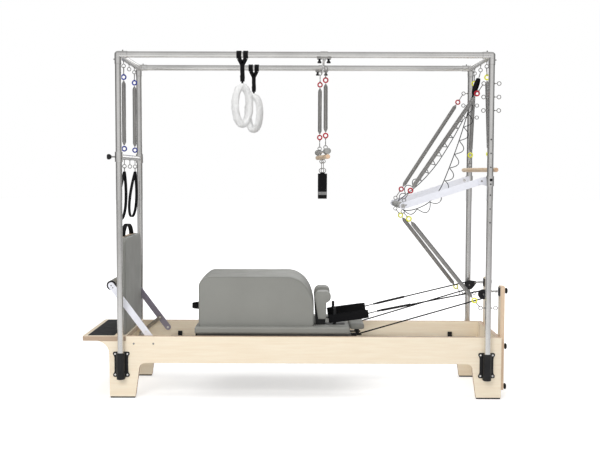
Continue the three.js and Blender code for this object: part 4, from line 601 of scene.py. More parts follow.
def ring_spring(name, from_eye, to_eye, hook, far_hook, color, body, nodes):
    """A close-wound spring with a coloured ring and a snap hook at each end."""
    flat = to_eye - from_eye
    flat.y = 0
    flat.length = EYE
    hung_from = from_eye + flat
    hung_to = to_eye - flat if far_hook else to_eye
    reach = (hung_to - hung_from).normalized() * EYE
    start, end = hung_from - reach, (hung_to + reach if far_hook else hung_to)
    origin, x, y, z = local_frame(start, end)
    length = (end - start).length
    piece = Piece(name)

    def at(a, b, c):
        return origin + x * a + y * b + z * c

    def snap(low, high, flip):
        """A slim snap hook: an oval of wire with a gate, and a swivel eye at the ring's end."""
        a, b = (low + 15, high) if flip else (low, high - 15)
        w, middle, gate = 5.5, (a + b) / 2, (b - a) * 0.22
        points = oval(at(0, 0, middle), y, z, (b - a) / 2 - w)
        piece.add(sweep(points, HOOK_WIRE * 0.85, 8, True, x), wire_steel)
        piece.add(rod(at(0, w, middle - gate), at(0, w, middle + gate), HOOK_WIRE * 1.35, 10), wire_steel)
        tip, turn = (a, -1) if flip else (b, 1)
        piece.add(rod(at(0, 0, tip - 2 * turn), at(0, 0, tip + 6 * turn), 3.0, 12), wire_steel)
        piece.add(ring(at(0, 0, tip + 11 * turn), y, 5.2, 1.7, 20, 8), wire_steel)

    coil, r, wire = 13.6, 14.0, 4.4
    ring_low, ring_high = hook, length - far_hook
    snap(CATCH, ring_low - r + 2, False)
    piece.add(ring(at(0, 0, ring_low), y, r, wire, 36, 12), color)
    piece.add(ring(at(0, 0, ring_high), y, r, wire, 36, 12), color)
    if far_hook:
        snap(ring_high + r - 2, length - CATCH, True)
    low, high = ring_low + r, ring_high - r
    pitch, gauge, steps = 3.05, 1.5, 12
    turns = int((high - low - 16) / pitch)
    points = [at(0, 0, low - 4), at(0, 0, low + 1)]
    total = turns * steps
    for i in range(total + 1):
        share = i / total
        near = min(i, total - i) / steps
        reach_out = min(coil - gauge, 2.2 + near * 1.5)
        w = 2 * pi * i / steps
        points.append(at(reach_out * cos(w), reach_out * sin(w), low + 8 + (high - low - 16) * share))
    points += [at(0, 0, high - 1), at(0, 0, high + 4)]
    piece.add(sweep(points, gauge, 5, False, x), coil_steel)
    return piece.make(body, "spring_steel", *nodes, bevel=0)


def strap(name, points, side, width, thickness, body, closed=False):
    """A flat strap of cloth as a piece of its own."""
    piece = Piece(name).add(band(points, side, width, thickness, closed), webbing)
    obj = piece.make(body, "webbing", bevel=0, smooth=50)
    return obj


# Bed: side panels on legs, platform, end boards and the spring bar
def panel_outline():
    tip, shelf, right = -1286, 358.7, -1112.7
    outline = [(tip, shelf), (right, shelf), (right, 389), (1234, 389), (1234, 9), (1078, 9)]
    outline += curve((1055, 176), (1055, 221), (1010, 221))
    outline += curve((-986, 221), (-1031, 221), (-1031, 176))
    outline += [(-1055, 9), (-1215, 9)]
    return outline + curve((-1218, 270.7), (-1218, 341.7), (tip, shelf))[:-1]


PANEL_INNER, PANEL_OUTER, BETWEEN = 293, 325, 292.7
RAIL_LEFT, RAIL_RIGHT, RAIL_LOW = 920, 1190, 267
SPRING_BAR_X, SPRING_BAR_Z = 905, 256.7
FOOT_PIVOT_X, FOOT_PIVOT_Z = 941, 343

for side, s in SIDES:
    inner, outer = s * PANEL_INNER, s * PANEL_OUTER
    panel = Piece(f"{side}_panel").add(plate(panel_outline(), "y", inner, outer), birch_long)
    for x0, x1 in ((-1212, -1058), (1081, 1231)):
        panel.add(block(V(x0, inner + s * 3, 0), V(x1, outer - s * 3, 9.5)), rubber)
    panel.add(block(V(-RAIL_LEFT, inner - s * 40, RAIL_LOW), V(RAIL_RIGHT, inner, 271)), rail_metal)
    panel.add(block(V(-RAIL_LEFT, inner - s * 5, RAIL_LOW), V(RAIL_RIGHT, inner, 285)), rail_metal)
    panel.add(block(V(-RAIL_LEFT, inner - s * 40, 271), V(RAIL_RIGHT, inner - s * 4, 285)), rail_metal)
    for x in (-857, 1010):
        panel.add(block(V(x - 14, inner - s * 14, 276), V(x + 14, inner, 317)), black)
    panel.add(block(V(-1072, inner - s * 2.5, 318), V(-915, inner, 362)), birch_long)
    panel.add(rod_y(-FOOT_PIVOT_X, inner, inner - s * 13.8, FOOT_PIVOT_Z, 6), steel)
    for x in (-FOOT_PIVOT_X, -1063.5):
        screw(panel, V(x, outer, FOOT_PIVOT_Z), V(0, s, 0), 6, 2, wire_steel)
    panel.make("frame", "birch_ply", f"{side}_side_panel", bevel=2.0, segments=3)

platform = Piece("platform")
board = [(-1113, -PANEL_OUTER), (-1113, PANEL_OUTER)]
board += curve((-1368, PANEL_OUTER), (-1386, PANEL_OUTER), (-1386, 307), 8)
board += curve((-1386, -307), (-1386, -PANEL_OUTER), (-1368, -PANEL_OUTER), 8)
platform.add(plate(board, "z", 359, 390), birch_flat)
platform.add(block(V(-1185, -BETWEEN, 221), V(-1155, BETWEEN, 360)), birch_end)
platform.make("frame", "birch_ply", "standing_platform", bevel=3.0, segments=3)
pad = Piece("platform_grip").add(block(V(-1356, -300, 389), V(-1190, 300, 392)), grip)
pad.make("frame", "rubber", bevel=1.2)

head = Piece("head_board").add(block(V(1204, -BETWEEN, 25), V(1234, BETWEEN, 389)), birch_end)
for y in (-240, 240):
    for low, high in ((298, 378), (42, 122)):
        slot = arc(y, high - 5, 5, 5, 0, pi) + arc(y, low + 5, 5, 5, pi, 2 * pi)
        head.cut(plate(slot, "x", 1200, 1240))
head.make("frame", "birch_ply", "head_end_board", bevel=1.5)

bar = Piece("spring_anchor_bar").add(rod_y(-SPRING_BAR_X, -BETWEEN, BETWEEN, SPRING_BAR_Z, 10, 40), steel)
for y in (-160, -80, 0, 80, 160):
    bar.add(rod_z(-SPRING_BAR_X, y, 257, 281, 2.2, 12), wire_steel)
    bar.add(rod_y(-SPRING_BAR_X, y - 6, y + 6, SPRING_BAR_Z, 11.5, 40), black)
bar.make("frame", "steel", "spring_bar")

# Tower: posts, brackets, top tubes and end frames
POST_X, POST_Y, TOP = 1141, 350, 2131
TUBE, ELBOW = 19, 21
PIVOT_X, PIVOT_Z = 1098, 1364
POST_EYE_X, HIGH_EYE_Z, LOW_EYE_Z = 1094, 1960, 579
HUNG_Z = TOP - 50
EAR_BACK, EAR_FACE, EAR_TIP = 306, 314, 1076
CLAMP_LOW, CLAMP_TOP = 1333, 1395
BRACKET_BACK, BRACKET_FACE = 325.3, 330.3

for side, s in SIDES:
    for end, e in ENDS:
        x, y = e * POST_X, s * POST_Y
        post = Piece(f"{side}_{end}_post").add(pipe(V(x, y, 129), V(x, y, 2072.7), TUBE, 2, ROUND), steel)
        if e > 0:
            for i in (-3, -2, -1, 1, 2, 3):
                z = PIVOT_Z + 85 * i
                post.cut(rod_y(x, y, y + s * 24, z, 4.5, 24))
        post.make("frame", "steel", f"post_{side}_{end}", bevel=0.5)
        if e > 0:
            eyes = Piece(f"{side}_post_eyes")
            for z in (HIGH_EYE_Z, 1878, 1796, LOW_EYE_Z):
                eyebolt(eyes, V(x - 17, y, z), V(x - 47, y, z))
                eyebolt(eyes, V(x + 17, y, z), V(x + 47, y, z))
                for d in (-1, 1):
                    eyes.add(rod_x(x + d * 18.4, x + d * 22.5, y, z, 5.2, 6), wire_steel)
            eyes.make("frame", "steel", bevel=0)
            clamp = Piece(f"{side}_bar_clamp")
            clamp.add(pipe(V(x, y, CLAMP_LOW), V(x, y, CLAMP_TOP), 24, 4.8, ROUND), steel)
            clamp.add(block(V(x - 5, s * EAR_BACK, 1333.5), V(x + 5, s * 330, 1394.5)), steel)
            ear = [(POST_X - 4, CLAMP_LOW), (POST_X - 4, CLAMP_TOP)]
            ear += curve((PIVOT_X, 1386), (EAR_TIP, 1386), (EAR_TIP, PIVOT_Z))
            ear += curve((EAR_TIP, PIVOT_Z), (EAR_TIP, 1342), (PIVOT_X, 1342))[1:]
            clamp.add(plate(ear, "y", s * EAR_BACK, s * EAR_FACE), arm_metal)
            clamp.add(rod_y(PIVOT_X, s * EAR_BACK, s * 290, PIVOT_Z, 7), steel)
            screw(clamp, V(PIVOT_X, s * 314, PIVOT_Z), V(0, s, 0), 6, 2, dark_steel)
            plunger = [(0.01, 0), (6, 0), (6, 4), (9, 6), (9, 13), (7, 15), (0.01, 15)]
            clamp.add(lathe(plunger, V(x, y + s * 23, 1372), V(0, s, 0), 28), black)
            clamp.add(rod_y(x, y + s * 18, y + s * 26, 1346, 5, 24), black)
            clamp.make("frame", "aluminium", bevel=1.0)
        bracket = Piece(f"{side}_{end}_bracket")
        outline = []
        for dx, dz in ((1, -1), (1, 1), (-1, 1), (-1, -1)):
            edge, waist, far = x + dx * 52, x + dx * 43, 213.5 + dz * 79.5
            rounded = curve((edge, far - dz * 12), (edge, far), (edge - dx * 12, far), 8)
            sweep_in = curve((waist, far - dz * 44), (waist, far - dz * 24), (edge, far - dz * 18), 8)
            part = sweep_in + rounded
            outline += part if dx * dz > 0 else part[::-1]
        bracket.add(plate(outline, "y", s * BRACKET_BACK, s * BRACKET_FACE), black)
        socket = [(x - 25, s * BRACKET_BACK), (x + 25, s * BRACKET_BACK)] + arc(x, y, 25, 25, 0, s * pi, 24)
        bracket.add(plate(socket, "z", 123.7, 289), black)
        bracket.cut(rod_z(x, y, 128.7, 320, 19.3, 48))
        bracket.make("frame", "black_plastic", f"bracket_{side}_{end}", bevel=1.6, segments=3)
        screws = Piece(f"{side}_{end}_bracket_screws")
        for dx in (-1, 1):
            for z in (148, 279):
                screw(screws, V(x + dx * 38, s * BRACKET_FACE, z), V(0, s, 0), 6, 2.2, bright_steel)
        screw(screws, V(x + 25, y, 168), X_AXIS, 4, 7, black)
        screws.make("frame", "steel", bevel=0)
    tube = Piece(f"{side}_top_tube")
    tube.add(pipe(V(-1082.7, s * POST_Y, TOP), V(1082.7, s * POST_Y, TOP), TUBE, 2, ROUND), steel)
    tube.make("frame", "steel", f"top_tube_{side}", bevel=0.5)

for end, e in ENDS:
    x = e * POST_X
    cross = Piece(f"{end}_cross_tube").add(rod_y(x, -POST_Y, POST_Y, TOP, TUBE, ROUND), steel)
    step = 180 if e < 0 else 200
    for i in (-1, 0, 1):
        eyebolt(cross, V(x, i * step, TOP - 18), V(x, i * step, HUNG_Z))
        cross.add(rod_z(x, i * step, TOP - 22.5, TOP - 18, 5.2, 6), wire_steel)
    for side, s in SIDES:
        y = s * POST_Y
        a = V(x, y, TOP)
        for out in (V(-e, 0, 0), V(0, 0, -1), V(0, -s, 0)):
            b = a + out * 58
            cross.add(rod(a, b, ELBOW, ROUND), steel)
            cross.add(ring(b - out * 3, out, 20.9, 0.5, ROUND, 6), dark_steel)
            cross.add(ring(a + out * 22, out, 20.9, 0.45, ROUND, 6), dark_steel)
        ball = [(ELBOW * sin(pi * i / 20), -ELBOW * cos(pi * i / 20)) for i in range(21)]
        cross.add(lathe(ball, V(x, y, TOP), Z_AXIS, 48), steel)
        screw(cross, V(x + e * 20.5, y, TOP - 29), V(e, 0, 0), 4, 8, wire_steel)
        screw(cross, V(x - e * 29, y, TOP + 20.5), Z_AXIS, 4, 8, wire_steel)
    cross.make("frame", "steel", f"end_frame_{end}", bevel=0.6)

# Foot bar
STRUT_PIN_X, STRUT_PIN_Z = 993.5, 413.6
STRUT_ROD_X, STRUT_ROD_Z = 1127, 302
FOOT_ROLL_X, FOOT_ROLL_Z = 1209, 703.5
arm_out, arm_in = 290.2, 283.2
foot_bar = Piece("foot_bar")
for side, s in SIDES:
    # The back arm takes the darker copy of the same aluminium, as painted shade.
    shade = arm_metal if s < 0 else arm_metal_painted_shade
    arm = round_bar(-FOOT_PIVOT_X, FOOT_PIVOT_Z, -FOOT_ROLL_X, FOOT_ROLL_Z, 40, s * arm_in, s * arm_out)
    foot_bar.add(arm, shade)
    foot_bar.add(rod_y(-STRUT_PIN_X, s * arm_in, s * 272.9, STRUT_PIN_Z, 6), steel)
    hole = rod_y(-FOOT_PIVOT_X, s * 280, s * 292, FOOT_PIVOT_Z, 6.4, 32)
    foot_bar.cut(hole)
foot_bar.add(rod_y(-FOOT_ROLL_X, -284, 284, FOOT_ROLL_Z, 12), steel)
foot_bar.make("foot_bar", "aluminium", "foot_bar_frame", bevel=0.8)
covers = Piece("foot_bar_fittings")
for side, s in SIDES:
    disc = [(12.4, 0), (29, 0), (30.6, 1.5), (30.6, 5), (29, 6.6), (12.4, 6.6)]
    covers.add(lathe(disc, V(-FOOT_ROLL_X, s * 283.1, FOOT_ROLL_Z), V(0, -s, 0), 48), black)
    screw(covers, V(-STRUT_PIN_X, s * arm_out, STRUT_PIN_Z), V(0, s, 0), 6.5, 1.6, bright_steel)
    screw(covers, V(-STRUT_PIN_X, s * 272.9, STRUT_PIN_Z), V(0, -s, 0), 6.5, 1.6, bright_steel)
    screw(covers, V(-FOOT_PIVOT_X, s * 279.2, FOOT_PIVOT_Z), V(0, -s, 0), 7.5, 2, bright_steel)
    for x, z in ((-FOOT_ROLL_X, FOOT_ROLL_Z), (-1199, 690)):
        screw(covers, V(x, s * arm_out, z), V(0, s, 0), 4.4, 1.0, wire_steel)
covers.make("foot_bar", "black_plastic", bevel=0)
roll = Piece("foot_roll")
profile = [(12.6, 6.8), (29, 6.8), (30, 8)]
profile += [(30 + 0.25 * sin(i * 1.7), 8 + i * 12.2) for i in range(1, 45)]
profile += [(30, 557.8), (29, 559), (12.6, 559)]
roll.add(lathe(profile, V(-FOOT_ROLL_X, -282.9, FOOT_ROLL_Z), Y_AXIS, 56), vinyl)
roll.make("foot_bar", "upholstery", "foot_bar_roll", bevel=0, smooth=45)

strut = Piece("foot_strut")
for side, s in SIDES:
    arm = round_bar(-STRUT_PIN_X, STRUT_PIN_Z, -STRUT_ROD_X, STRUT_ROD_Z, 24, s * 276.9, s * 282.9)
    strut.add(arm, dark_steel)
    strut.cut(rod_y(-STRUT_PIN_X, s * 274, s * 286, STRUT_PIN_Z, 6.4, 32))
strut.add(rod_y(-STRUT_ROD_X, -277, 277, STRUT_ROD_Z, 8), steel)
strut.make("foot_bar_strut", "steel", "foot_bar_strut", bevel=0.6)

# Jump board
BOARD_FACE, BOARD_MIDDLE = 1147, 1162


def board_outline(inset):
    y, top, low, c = 273 - inset, 1000 - inset, 390.3 + inset, 70 - inset
    right = curve((y, top - c), (y, top), (y - c, top), 12)
    return [(-y, low), (y, low)] + right + curve((-y + c, top), (-y, top), (-y, top - c), 12)


jump = Piece("jump_board_panel").add(plate(board_outline(0), "x", -1177, -BOARD_FACE), birch_painted_light)
for y in (-200, 200):
    jump.add(rod_z(-BOARD_MIDDLE, y, 370, 400, 5), brass)
    near = y - 60 if y < 0 else y + 30
    jump.add(block(V(-1164.4, near, 988), V(-1159.6, near + 30, 1000.2)), dark_steel)
jump.make("jump_board", "birch_ply", "jump_board", bevel=2.0, segments=3)
skins = [(2, 0), (0.6, 3), (0, 8), (0, 18), (1.2, 22.5), (4, 25.4), (9, 27)]
rings = [[V(-BOARD_FACE + reach, y, z) for y, z in board_outline(inset)] for inset, reach in skins]
for share in (0.08, 0.25, 0.5, 0.75, 0.92):
    rings.append([p.lerp(V(p.x, 0, 690), share) + V(1.6 * share, 0, 0) for p in rings[6]])
jump_pad = Piece("jump_board_cushion").add(loft(rings), vinyl)
jump_pad.add(sweep([V(-1146.2, y, z) for y, z in board_outline(0.4)], 1.4, 8, True, X_AXIS), welt)
jump_pad.make("jump_board", "upholstery", bevel=0, smooth=50)
arch = [V(-BOARD_MIDDLE, 140 * cos(pi * (1 - i / 24)), 992 + 82 * sin(pi * i / 24)) for i in range(25)]
strap("jump_board_handle", arch, X_AXIS, 30, 4, "jump_board")

# Carriage: frame, wheels, pad and springs
CHASSIS_LOW, CHASSIS_TOP, CHASSIS_LEFT, CHASSIS_RIGHT = 355.2, 397.2, 676, 300
AXLES, AXLE_Z = (("left", -560), ("right", 180)), 313.3
ANCHOR_Y, PEG_X, PEG_Y, DECK_TOP = 210, 197, 158, 440.8
base = Piece("carriage_chassis")
y0 = 246
well_mid = (-CHASSIS_LEFT + CHASSIS_RIGHT) / 2
rim = [(-CHASSIS_LEFT, -y0), (CHASSIS_RIGHT, -y0), (CHASSIS_RIGHT, y0), (-CHASSIS_LEFT, y0)]
base.add(plate(rim, "z", CHASSIS_LOW, CHASSIS_TOP), chassis_metal)
for x0, x1 in ((-626, well_mid - 25), (well_mid + 25, 250)):
    base.cut(block(V(x0, -196, 350), V(x1, 196, 400)))
base.make("carriage", "aluminium", "carriage_frame", bevel=1.5)
fittings = Piece("carriage_fittings")
for side, s in SIDES:
    for _, x in AXLES:
        fittings.add(block(V(x - 18, s * 217, 299.8), V(x + 18, s * 235, 356)), chassis_metal)
    fittings.add(block(V(-690, s * 200 - 20, CHASSIS_LOW), V(-675, s * 200 + 20, CHASSIS_TOP)), black)
    cleat = [(299, 377.2), (336, 377.2), (336, 386), (328, CHASSIS_TOP), (299, CHASSIS_TOP)]
    fittings.add(plate(cleat, "y", s * ANCHOR_Y - 10, s * ANCHOR_Y + 10), black)
    fittings.add(block(V(295, s * 54, CHASSIS_LOW), V(376.5, s * 72, 363.2)), black)
fittings.make("carriage", "black_plastic", bevel=1.2)

for end, x in AXLES:
    wheels = Piece(f"{end}_wheels").add(rod_y(x, -292, 292, AXLE_Z, 6), steel)
    for side, s in SIDES:
        tread = [(7, 0), (12, -1), (13, 1.5), (22, 1.5), (24, 0), (27, 0), (28, 1.5)]
        tread += [(r, 20 - h) for r, h in tread[::-1]]
        wheels.add(lathe(tread, V(x, s * 288, AXLE_Z), V(0, -s, 0), 48), rubber)
    wheels.make(f"wheels_{end}", "rubber", f"wheel_axle_{end}", bevel=0)

PAD_LEFT, PAD_RIGHT, PAD_HALF = 690, 291, 275
pad_low, pad_high = V(-PAD_LEFT, -PAD_HALF, 397.5), V(PAD_RIGHT, PAD_HALF, 440.5)
deck = Piece("carriage_cushion").add(cushion(pad_low, pad_high, 11, (0, 0, 0.6), 34, 0.35), vinyl)
loop = rounded_box(-PAD_LEFT, PAD_RIGHT, -PAD_HALF, PAD_HALF, 11)
deck.add(sweep([V(x, y, 407.5) for x, y in loop], 1.5, 8, True, Z_AXIS), welt)
deck.make("carriage", "upholstery", "carriage_pad", bevel=0, smooth=60)

COIL_Z, COIL_RADIUS, COIL_FROM, COIL_RUN = 276.7, 9.6, -880, 676
under = Piece("carriage_coils")
for i in range(-2, 3):
    y = i * 80
    points = [V(-902.5, y, COIL_Z), V(-885, y, COIL_Z)]
    turns, steps = 176, 10
    for k in range(turns * steps + 1):
        near = min(k, turns * steps - k) / steps
        r = min(COIL_RADIUS, 2 + near * 1.6)
        w = 2 * pi * k / steps
        points.append(V(COIL_FROM + COIL_RUN * k / (turns * steps), y + r * cos(w), COIL_Z + r * sin(w)))
    points.append(V(-196, y, COIL_Z))
    under.add(sweep(points, 1.4, 5), coil_steel)
under.add(block(V(-200, -182, 265.7), V(-188, 182, 354.9)), dark_steel)
coils = under.make(None, "spring_steel", "carriage_springs", bevel=0)
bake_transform(coils)

stuffed = cushion(V(296.5, -125, 402.5), V(391, 125, 440.5), 17, (0, 1.5, 1.4), 26, 0.5)
headrest = Piece("headrest_cushion").add(stuffed, vinyl)
loop = rounded_box(297.4, 390.1, -123.6, 123.6, 12.6)
headrest.add(sweep([V(x, y, 410) for x, y in loop], 1.3, 8, True, Z_AXIS), welt)
for s in (-1, 1):
    headrest.add(block(V(336.5, s * 54, 363.5), V(360.5, s * 72, 406)), black)
headrest.make("headrest", "upholstery", "headrest", bevel=0, smooth=60)

# Shoulder rests
for side, s in SIDES:
    y, top = s * 130, 621
    outline = [(92, 478), (142, 478), (142, top - 37)]
    outline += arc(138, top, 34, 34, -0.35 * pi, 0.5 * pi, 20)
    outline += [(113, 655)] + curve((113, 655), (68, 655), (68, 610), 14)[1:]
    cx, cz = 105, 575
    stations = ((60, 8), (59, 4.5), (56.5, 2), (53, 0.5), (48, 0), (20, -0.8))
    stations = [(-r, i) for r, i in stations] + [(r, i) for r, i in reversed(stations)]
    rings = []
    for reach, inset in stations:
        ring_points = []
        for px, pz in outline:
            away = hypot(px - cx, pz - cz)
            k = 1 - inset / away
            ring_points.append(V(cx + (px - cx) * k, y + reach, cz + (pz - cz) * k))
        rings.append(ring_points)
    rest = Piece(f"{side}_shoulder_cushion").add(loft(rings), vinyl)
    for station in (2, -3):
        rest.add(sweep(rings[station], 1.1, 6, True), welt)
    body = f"shoulder_rest_{side}"
    rest.make(body, "upholstery", body, bevel=0, smooth=50)
    stand = Piece(f"{side}_shoulder_stand")
    strip = [(76, DECK_TOP), (262, DECK_TOP), (262, 444.8), (138, 444.8), (138, 482), (97, 482), (73, 610),
        (66, 610)]
    stand.add(plate(strip, "y", y - 28, y + 28), black)
    peg = [(0.01, 0), (12, 0), (12, 3), (9.5, 5), (9.5, 98), (8, 103), (0.01, 103.2)]
    stand.add(lathe(peg, V(PEG_X, s * PEG_Y, 444.8), Z_AXIS, 28), black)
    stand.add(ring(V(PEG_X, s * PEG_Y, 540), Z_AXIS, 9.5, 0.9, 28, 8), rubber)
    stand.make(body, "black_plastic", bevel=1.0)


# Sitting box
def box_outline(inset):
    x0, x1, z0, z1 = -668 + inset, 62 - inset, DECK_TOP, 755.8 - inset
    foot, round_left, round_right, round_high = 10, 68, 168, 205
    points = arc(x1 - foot, z0 + foot, foot, foot, -pi / 2, 0, 4)
    points += arc(x1 - round_right, z1 - round_high, round_right, round_high, 0, pi / 2, 26)
    flat_from, flat_to = x1 - round_right, x0 + round_left
    points += [(flat_from + (flat_to - flat_from) * i / 12, z1) for i in range(1, 12)]
    points += arc(flat_to, z1 - round_left, round_left, round_left, pi / 2, pi, 16)
    return points + arc(x0 + foot, z0 + foot, foot, foot, pi, 1.5 * pi, 4)


rings = []
stations = ((229, 6), (228.7, 3.6), (227.4, 1.6), (225.4, 0.5), (222, 0), (180, -0.8), (120, -1.8),
    (60, -2.4))
for reach, inset in [(-r, i) for r, i in stations] + [(0, -2.6)] + [(r, i) for r, i in reversed(stations)]:
    line = []
    for px, pz in box_outline(inset):
        p = V(px, reach, pz)
        if pz > 446:
            p += Z_AXIS * 0.9 * noise.noise(p * 0.012) + X_AXIS * 0.8 * noise.noise(p * 0.01 + V(9, 0, 0))
        line.append(p)
    rings.append(line)
box = Piece("box_body")
count = len(rings[0])
verts, faces = loft(rings)
box.add((verts, faces[:-2]), vinyl)
for ring_points, s in ((rings[0], -1), (rings[-1], 1)):
    # The flat face is filled with shrinking rings, so that it can swell a little.
    middle = V(-300, ring_points[0].y, 585)
    cap = [ring_points]
    for share in (0.04, 0.12, 0.3, 0.5, 0.7, 0.9):
        cap.append([p.lerp(middle, share) for p in ring_points])
    for line in cap[2:]:
        for p in line:
            p.y += s * 1.2 * noise.noise(p * 0.009)
    flat = [p for line in cap for p in line]
    box.add((flat, skin(len(cap), count)[:-2] + skin(len(cap), count)[-1:]), vinyl)
    seam = [p + V(0, -s * 0.2, 0) for p in ring_points]
    box.add(sweep(seam, 1.5, 6, True), welt)
box.add(block(V(-655, -215, DECK_TOP), V(45, 215, 444)), black)
box.make("sitting_box", "upholstery", "sitting_box", bevel=0, smooth=50)
handle = [V(-664 - 70 * max(0, sin(pi * i / 24)) ** 0.7, 65 * cos(pi * i / 24), 538.8) for i in range(25)]
strap("box_handle", handle, Z_AXIS, 30, 4, "sitting_box")

# Risers, pulleys and ropes
EYE_Z, RISER_FACE = 667.05, 1261.3
SHEAVE_X, SHEAVE_Z, SWIVEL_X = 1131, 650, 1171
ROPE_RADIUS, ROPE_TURN, SLEEVE_RADIUS = 4.4, 24.5, 7.6


def knob(piece, face, out):
    radius, depth, neck = 19.5, 22, 9
    profile = [(0.01, 0), (neck, 0), (neck, 3), (neck * 0.9, 5), (radius * 0.9, depth * 0.5)]
    profile += [(radius, depth * 0.62), (radius * 0.97, depth * 0.8), (radius * 0.72, depth), (0.01, depth)]
    piece.add(lathe(profile, face, out, 32), black)


for side, s in SIDES:
    y = s * 240
    board = plate(rounded_box(y - 35, y + 35, 46, 704, 4, 6), "x", 1234.3, RISER_FACE)
    riser = Piece(f"{side}_riser_board").add(board, birch_painted_light)
    riser.make(f"riser_{side}", "birch_ply", f"riser_{side}", bevel=1.5)
    hardware = Piece(f"{side}_riser_hardware")
    for z in (673, 320, 64):
        knob(hardware, V(RISER_FACE, y, z), X_AXIS)
        if z != 673:
            hardware.add(rod_x(1240, 1210.3, y, z, 4, 20), wire_steel)
    hardware.add(block(V(1228.3, y - 20, EYE_Z - 27), V(1234.5, y + 20, EYE_Z + 27)), black)
    turns, steps = 5, 14
    points = [V(1181, y, EYE_Z)]
    for k in range(turns * steps + 1):
        share = k / (turns * steps)
        r = 7 + 4.5 * share
        w = 2 * pi * k / steps
        points.append(V(1184 + 43 * share, y + r * cos(w), EYE_Z + r * sin(w)))
    hardware.add(sweep(points, 1.7, 7), coil_steel)
    hardware.add(rod_x(1180, 1230, y, EYE_Z, 2.2, 12), wire_steel)
    hardware.add(ring(V(SWIVEL_X, y, EYE_Z), Y_AXIS, 8, 2, 28, 10), wire_steel)
    hardware.make(f"riser_{side}", "black_plastic", bevel=0.6)

    block_piece = Piece(f"{side}_pulley_cheeks")
    cheek = arc(SHEAVE_X, SHEAVE_Z, 31, 31, pi * 0.45, pi * 1.8, 30)
    cheek += arc(SWIVEL_X, EYE_Z, 9.5, 9.5, -pi * 0.3, pi * 0.5, 10)
    for d in (-1, 1):
        block_piece.add(plate(cheek, "y", y + d * 7, y + d * 10), black)
        screw(block_piece, V(SHEAVE_X, y + d * 10, SHEAVE_Z), V(0, d, 0), 5, 1.5, wire_steel)
        screw(block_piece, V(SWIVEL_X, y + d * 10, EYE_Z), V(0, d, 0), 5, 1.5, wire_steel)
    block_piece.add(rod_y(SHEAVE_X, y - 10.5, y + 10.5, SHEAVE_Z, 5), dark_steel)
    block_piece.add(rod_y(SWIVEL_X, y - 10.5, y + 10.5, EYE_Z, 5.6), dark_steel)
    block_piece.make(f"pulley_block_{side}", "black_plastic", f"pulley_block_{side}", bevel=0.8)
    sheave = Piece(f"{side}_pulley_sheave")
    half = 6.2
    flank = [(5.4, half), (9, half), (10, half - 1), (22, half - 1), (23, half), (26.6, half)]
    flank += [(27, half * 0.85), (22.2, half * 0.5)]
    profile = [(r, -h) for r, h in flank] + [(20.6, 0)] + flank[::-1]
    sheave.add(lathe(profile, V(SHEAVE_X, y, SHEAVE_Z), Y_AXIS, 48), black)
    sheave.make(f"pulley_wheel_{side}", "black_plastic", f"pulley_wheel_{side}", bevel=0)

    # Rope: carriage anchor, round the pulley, a sleeve and ferrule, then the webbing handle.
    half_turn = arc(SHEAVE_X, SHEAVE_Z, ROPE_TURN, ROPE_TURN, -0.44 * pi, 0.56 * pi, 24)
    around = [V(px, y, pz) for px, pz in half_turn]
    anchor, ferrule = V(337, s * ANCHOR_Y, 387.5), V(492, s * PEG_Y, 533)
    path = [anchor.lerp(around[0], i / 30) for i in range(30)] + around
    path += [around[-1].lerp(ferrule, i / 30) for i in range(1, 31)]
    rope = Piece(f"{side}_rope").add(sweep(path, ROPE_RADIUS, 12), rope_cloth)
    sleeve_start = ferrule.lerp(around[-1], 0.3)
    back = ferrule + (ferrule - around[-1]).normalized() * 24
    sleeve = [sleeve_start.lerp(ferrule, share) for share in (0, 0.02, 0.98, 1)]
    rope.add(sweep(sleeve, [5, SLEEVE_RADIUS, SLEEVE_RADIUS, 5.4], 16), rubber)
    grooves = [(5.4 + 0.75 * (1 - cos(2 * pi * i / 6)), i) for i in range(25)]
    rope.add(lathe(grooves, ferrule, back - ferrule, 20), black)
    right, left = V(412, s * PEG_Y, 511), V(160, s * PEG_Y, 476)
    along = (left - right).normalized()
    upward = Y_AXIS.cross(along).normalized()
    middle, half_run = (right + left) / 2, (right - left).length / 2
    loop = []
    for w in angles(48):
        reach = (1 if cos(w) > 0 else -1) * abs(cos(w)) ** 0.6
        loop.append(middle - along * half_run * reach + V(0, 19 * sin(w), 0))
    for k in (5, 43):
        rope.add(sweep([back.lerp(ferrule, 0.5), loop[k]], 2.3, 8), rope_cloth)
    tied = rope.make(None, "webbing", f"rope_{side}", bevel=0)
    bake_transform(tied)
    strap(f"{side}_rope_handle", loop, upward, 50, 4, "carriage", closed=True)

# Push-through bar
PUSH_X, PUSH_Z, ARM_INNER, ARM_OUTER = 613, 1208, 294, 302
BAR_END = 307
UPPER_EYE, LOWER_EYE = (261, 0.3, 1), (235, 0.2, -1)


def push_eye(s, y, lean, up):
    return V(PUSH_X, s * y, PUSH_Z) + V(lean, 0, up).normalized() * 37


push = Piece("push_bar")
for side, s in SIDES:
    push.add(round_bar(PIVOT_X, PIVOT_Z, PUSH_X, PUSH_Z, 42, s * ARM_INNER, s * ARM_OUTER), arm_metal)
    push.cut(rod_y(PIVOT_X, s * 290, s * 306, PIVOT_Z, 7.4, 32))
push.add(rod_y(PUSH_X, -BAR_END, BAR_END, PUSH_Z, 14, 40), steel)
for side, s in SIDES:
    for place in (UPPER_EYE, LOWER_EYE):
        eyebolt(push, V(PUSH_X, s * place[0], PUSH_Z), push_eye(s, *place))
push.make("push_through_bar", "aluminium", "push_through_bar", bevel=0.9)
push_screws = Piece("push_bar_screws")
for side, s in SIDES:
    for x, z in ((PUSH_X, PUSH_Z), (632, 1214)):
        screw(push_screws, V(x, s * (BAR_END if x < 620 else ARM_OUTER), z), V(0, s, 0), 4.5, 1.2, wire_steel)
    screw(push_screws, V(PIVOT_X, s * ARM_INNER, PIVOT_Z), V(0, -s, 0), 10, 2.5, bright_steel)
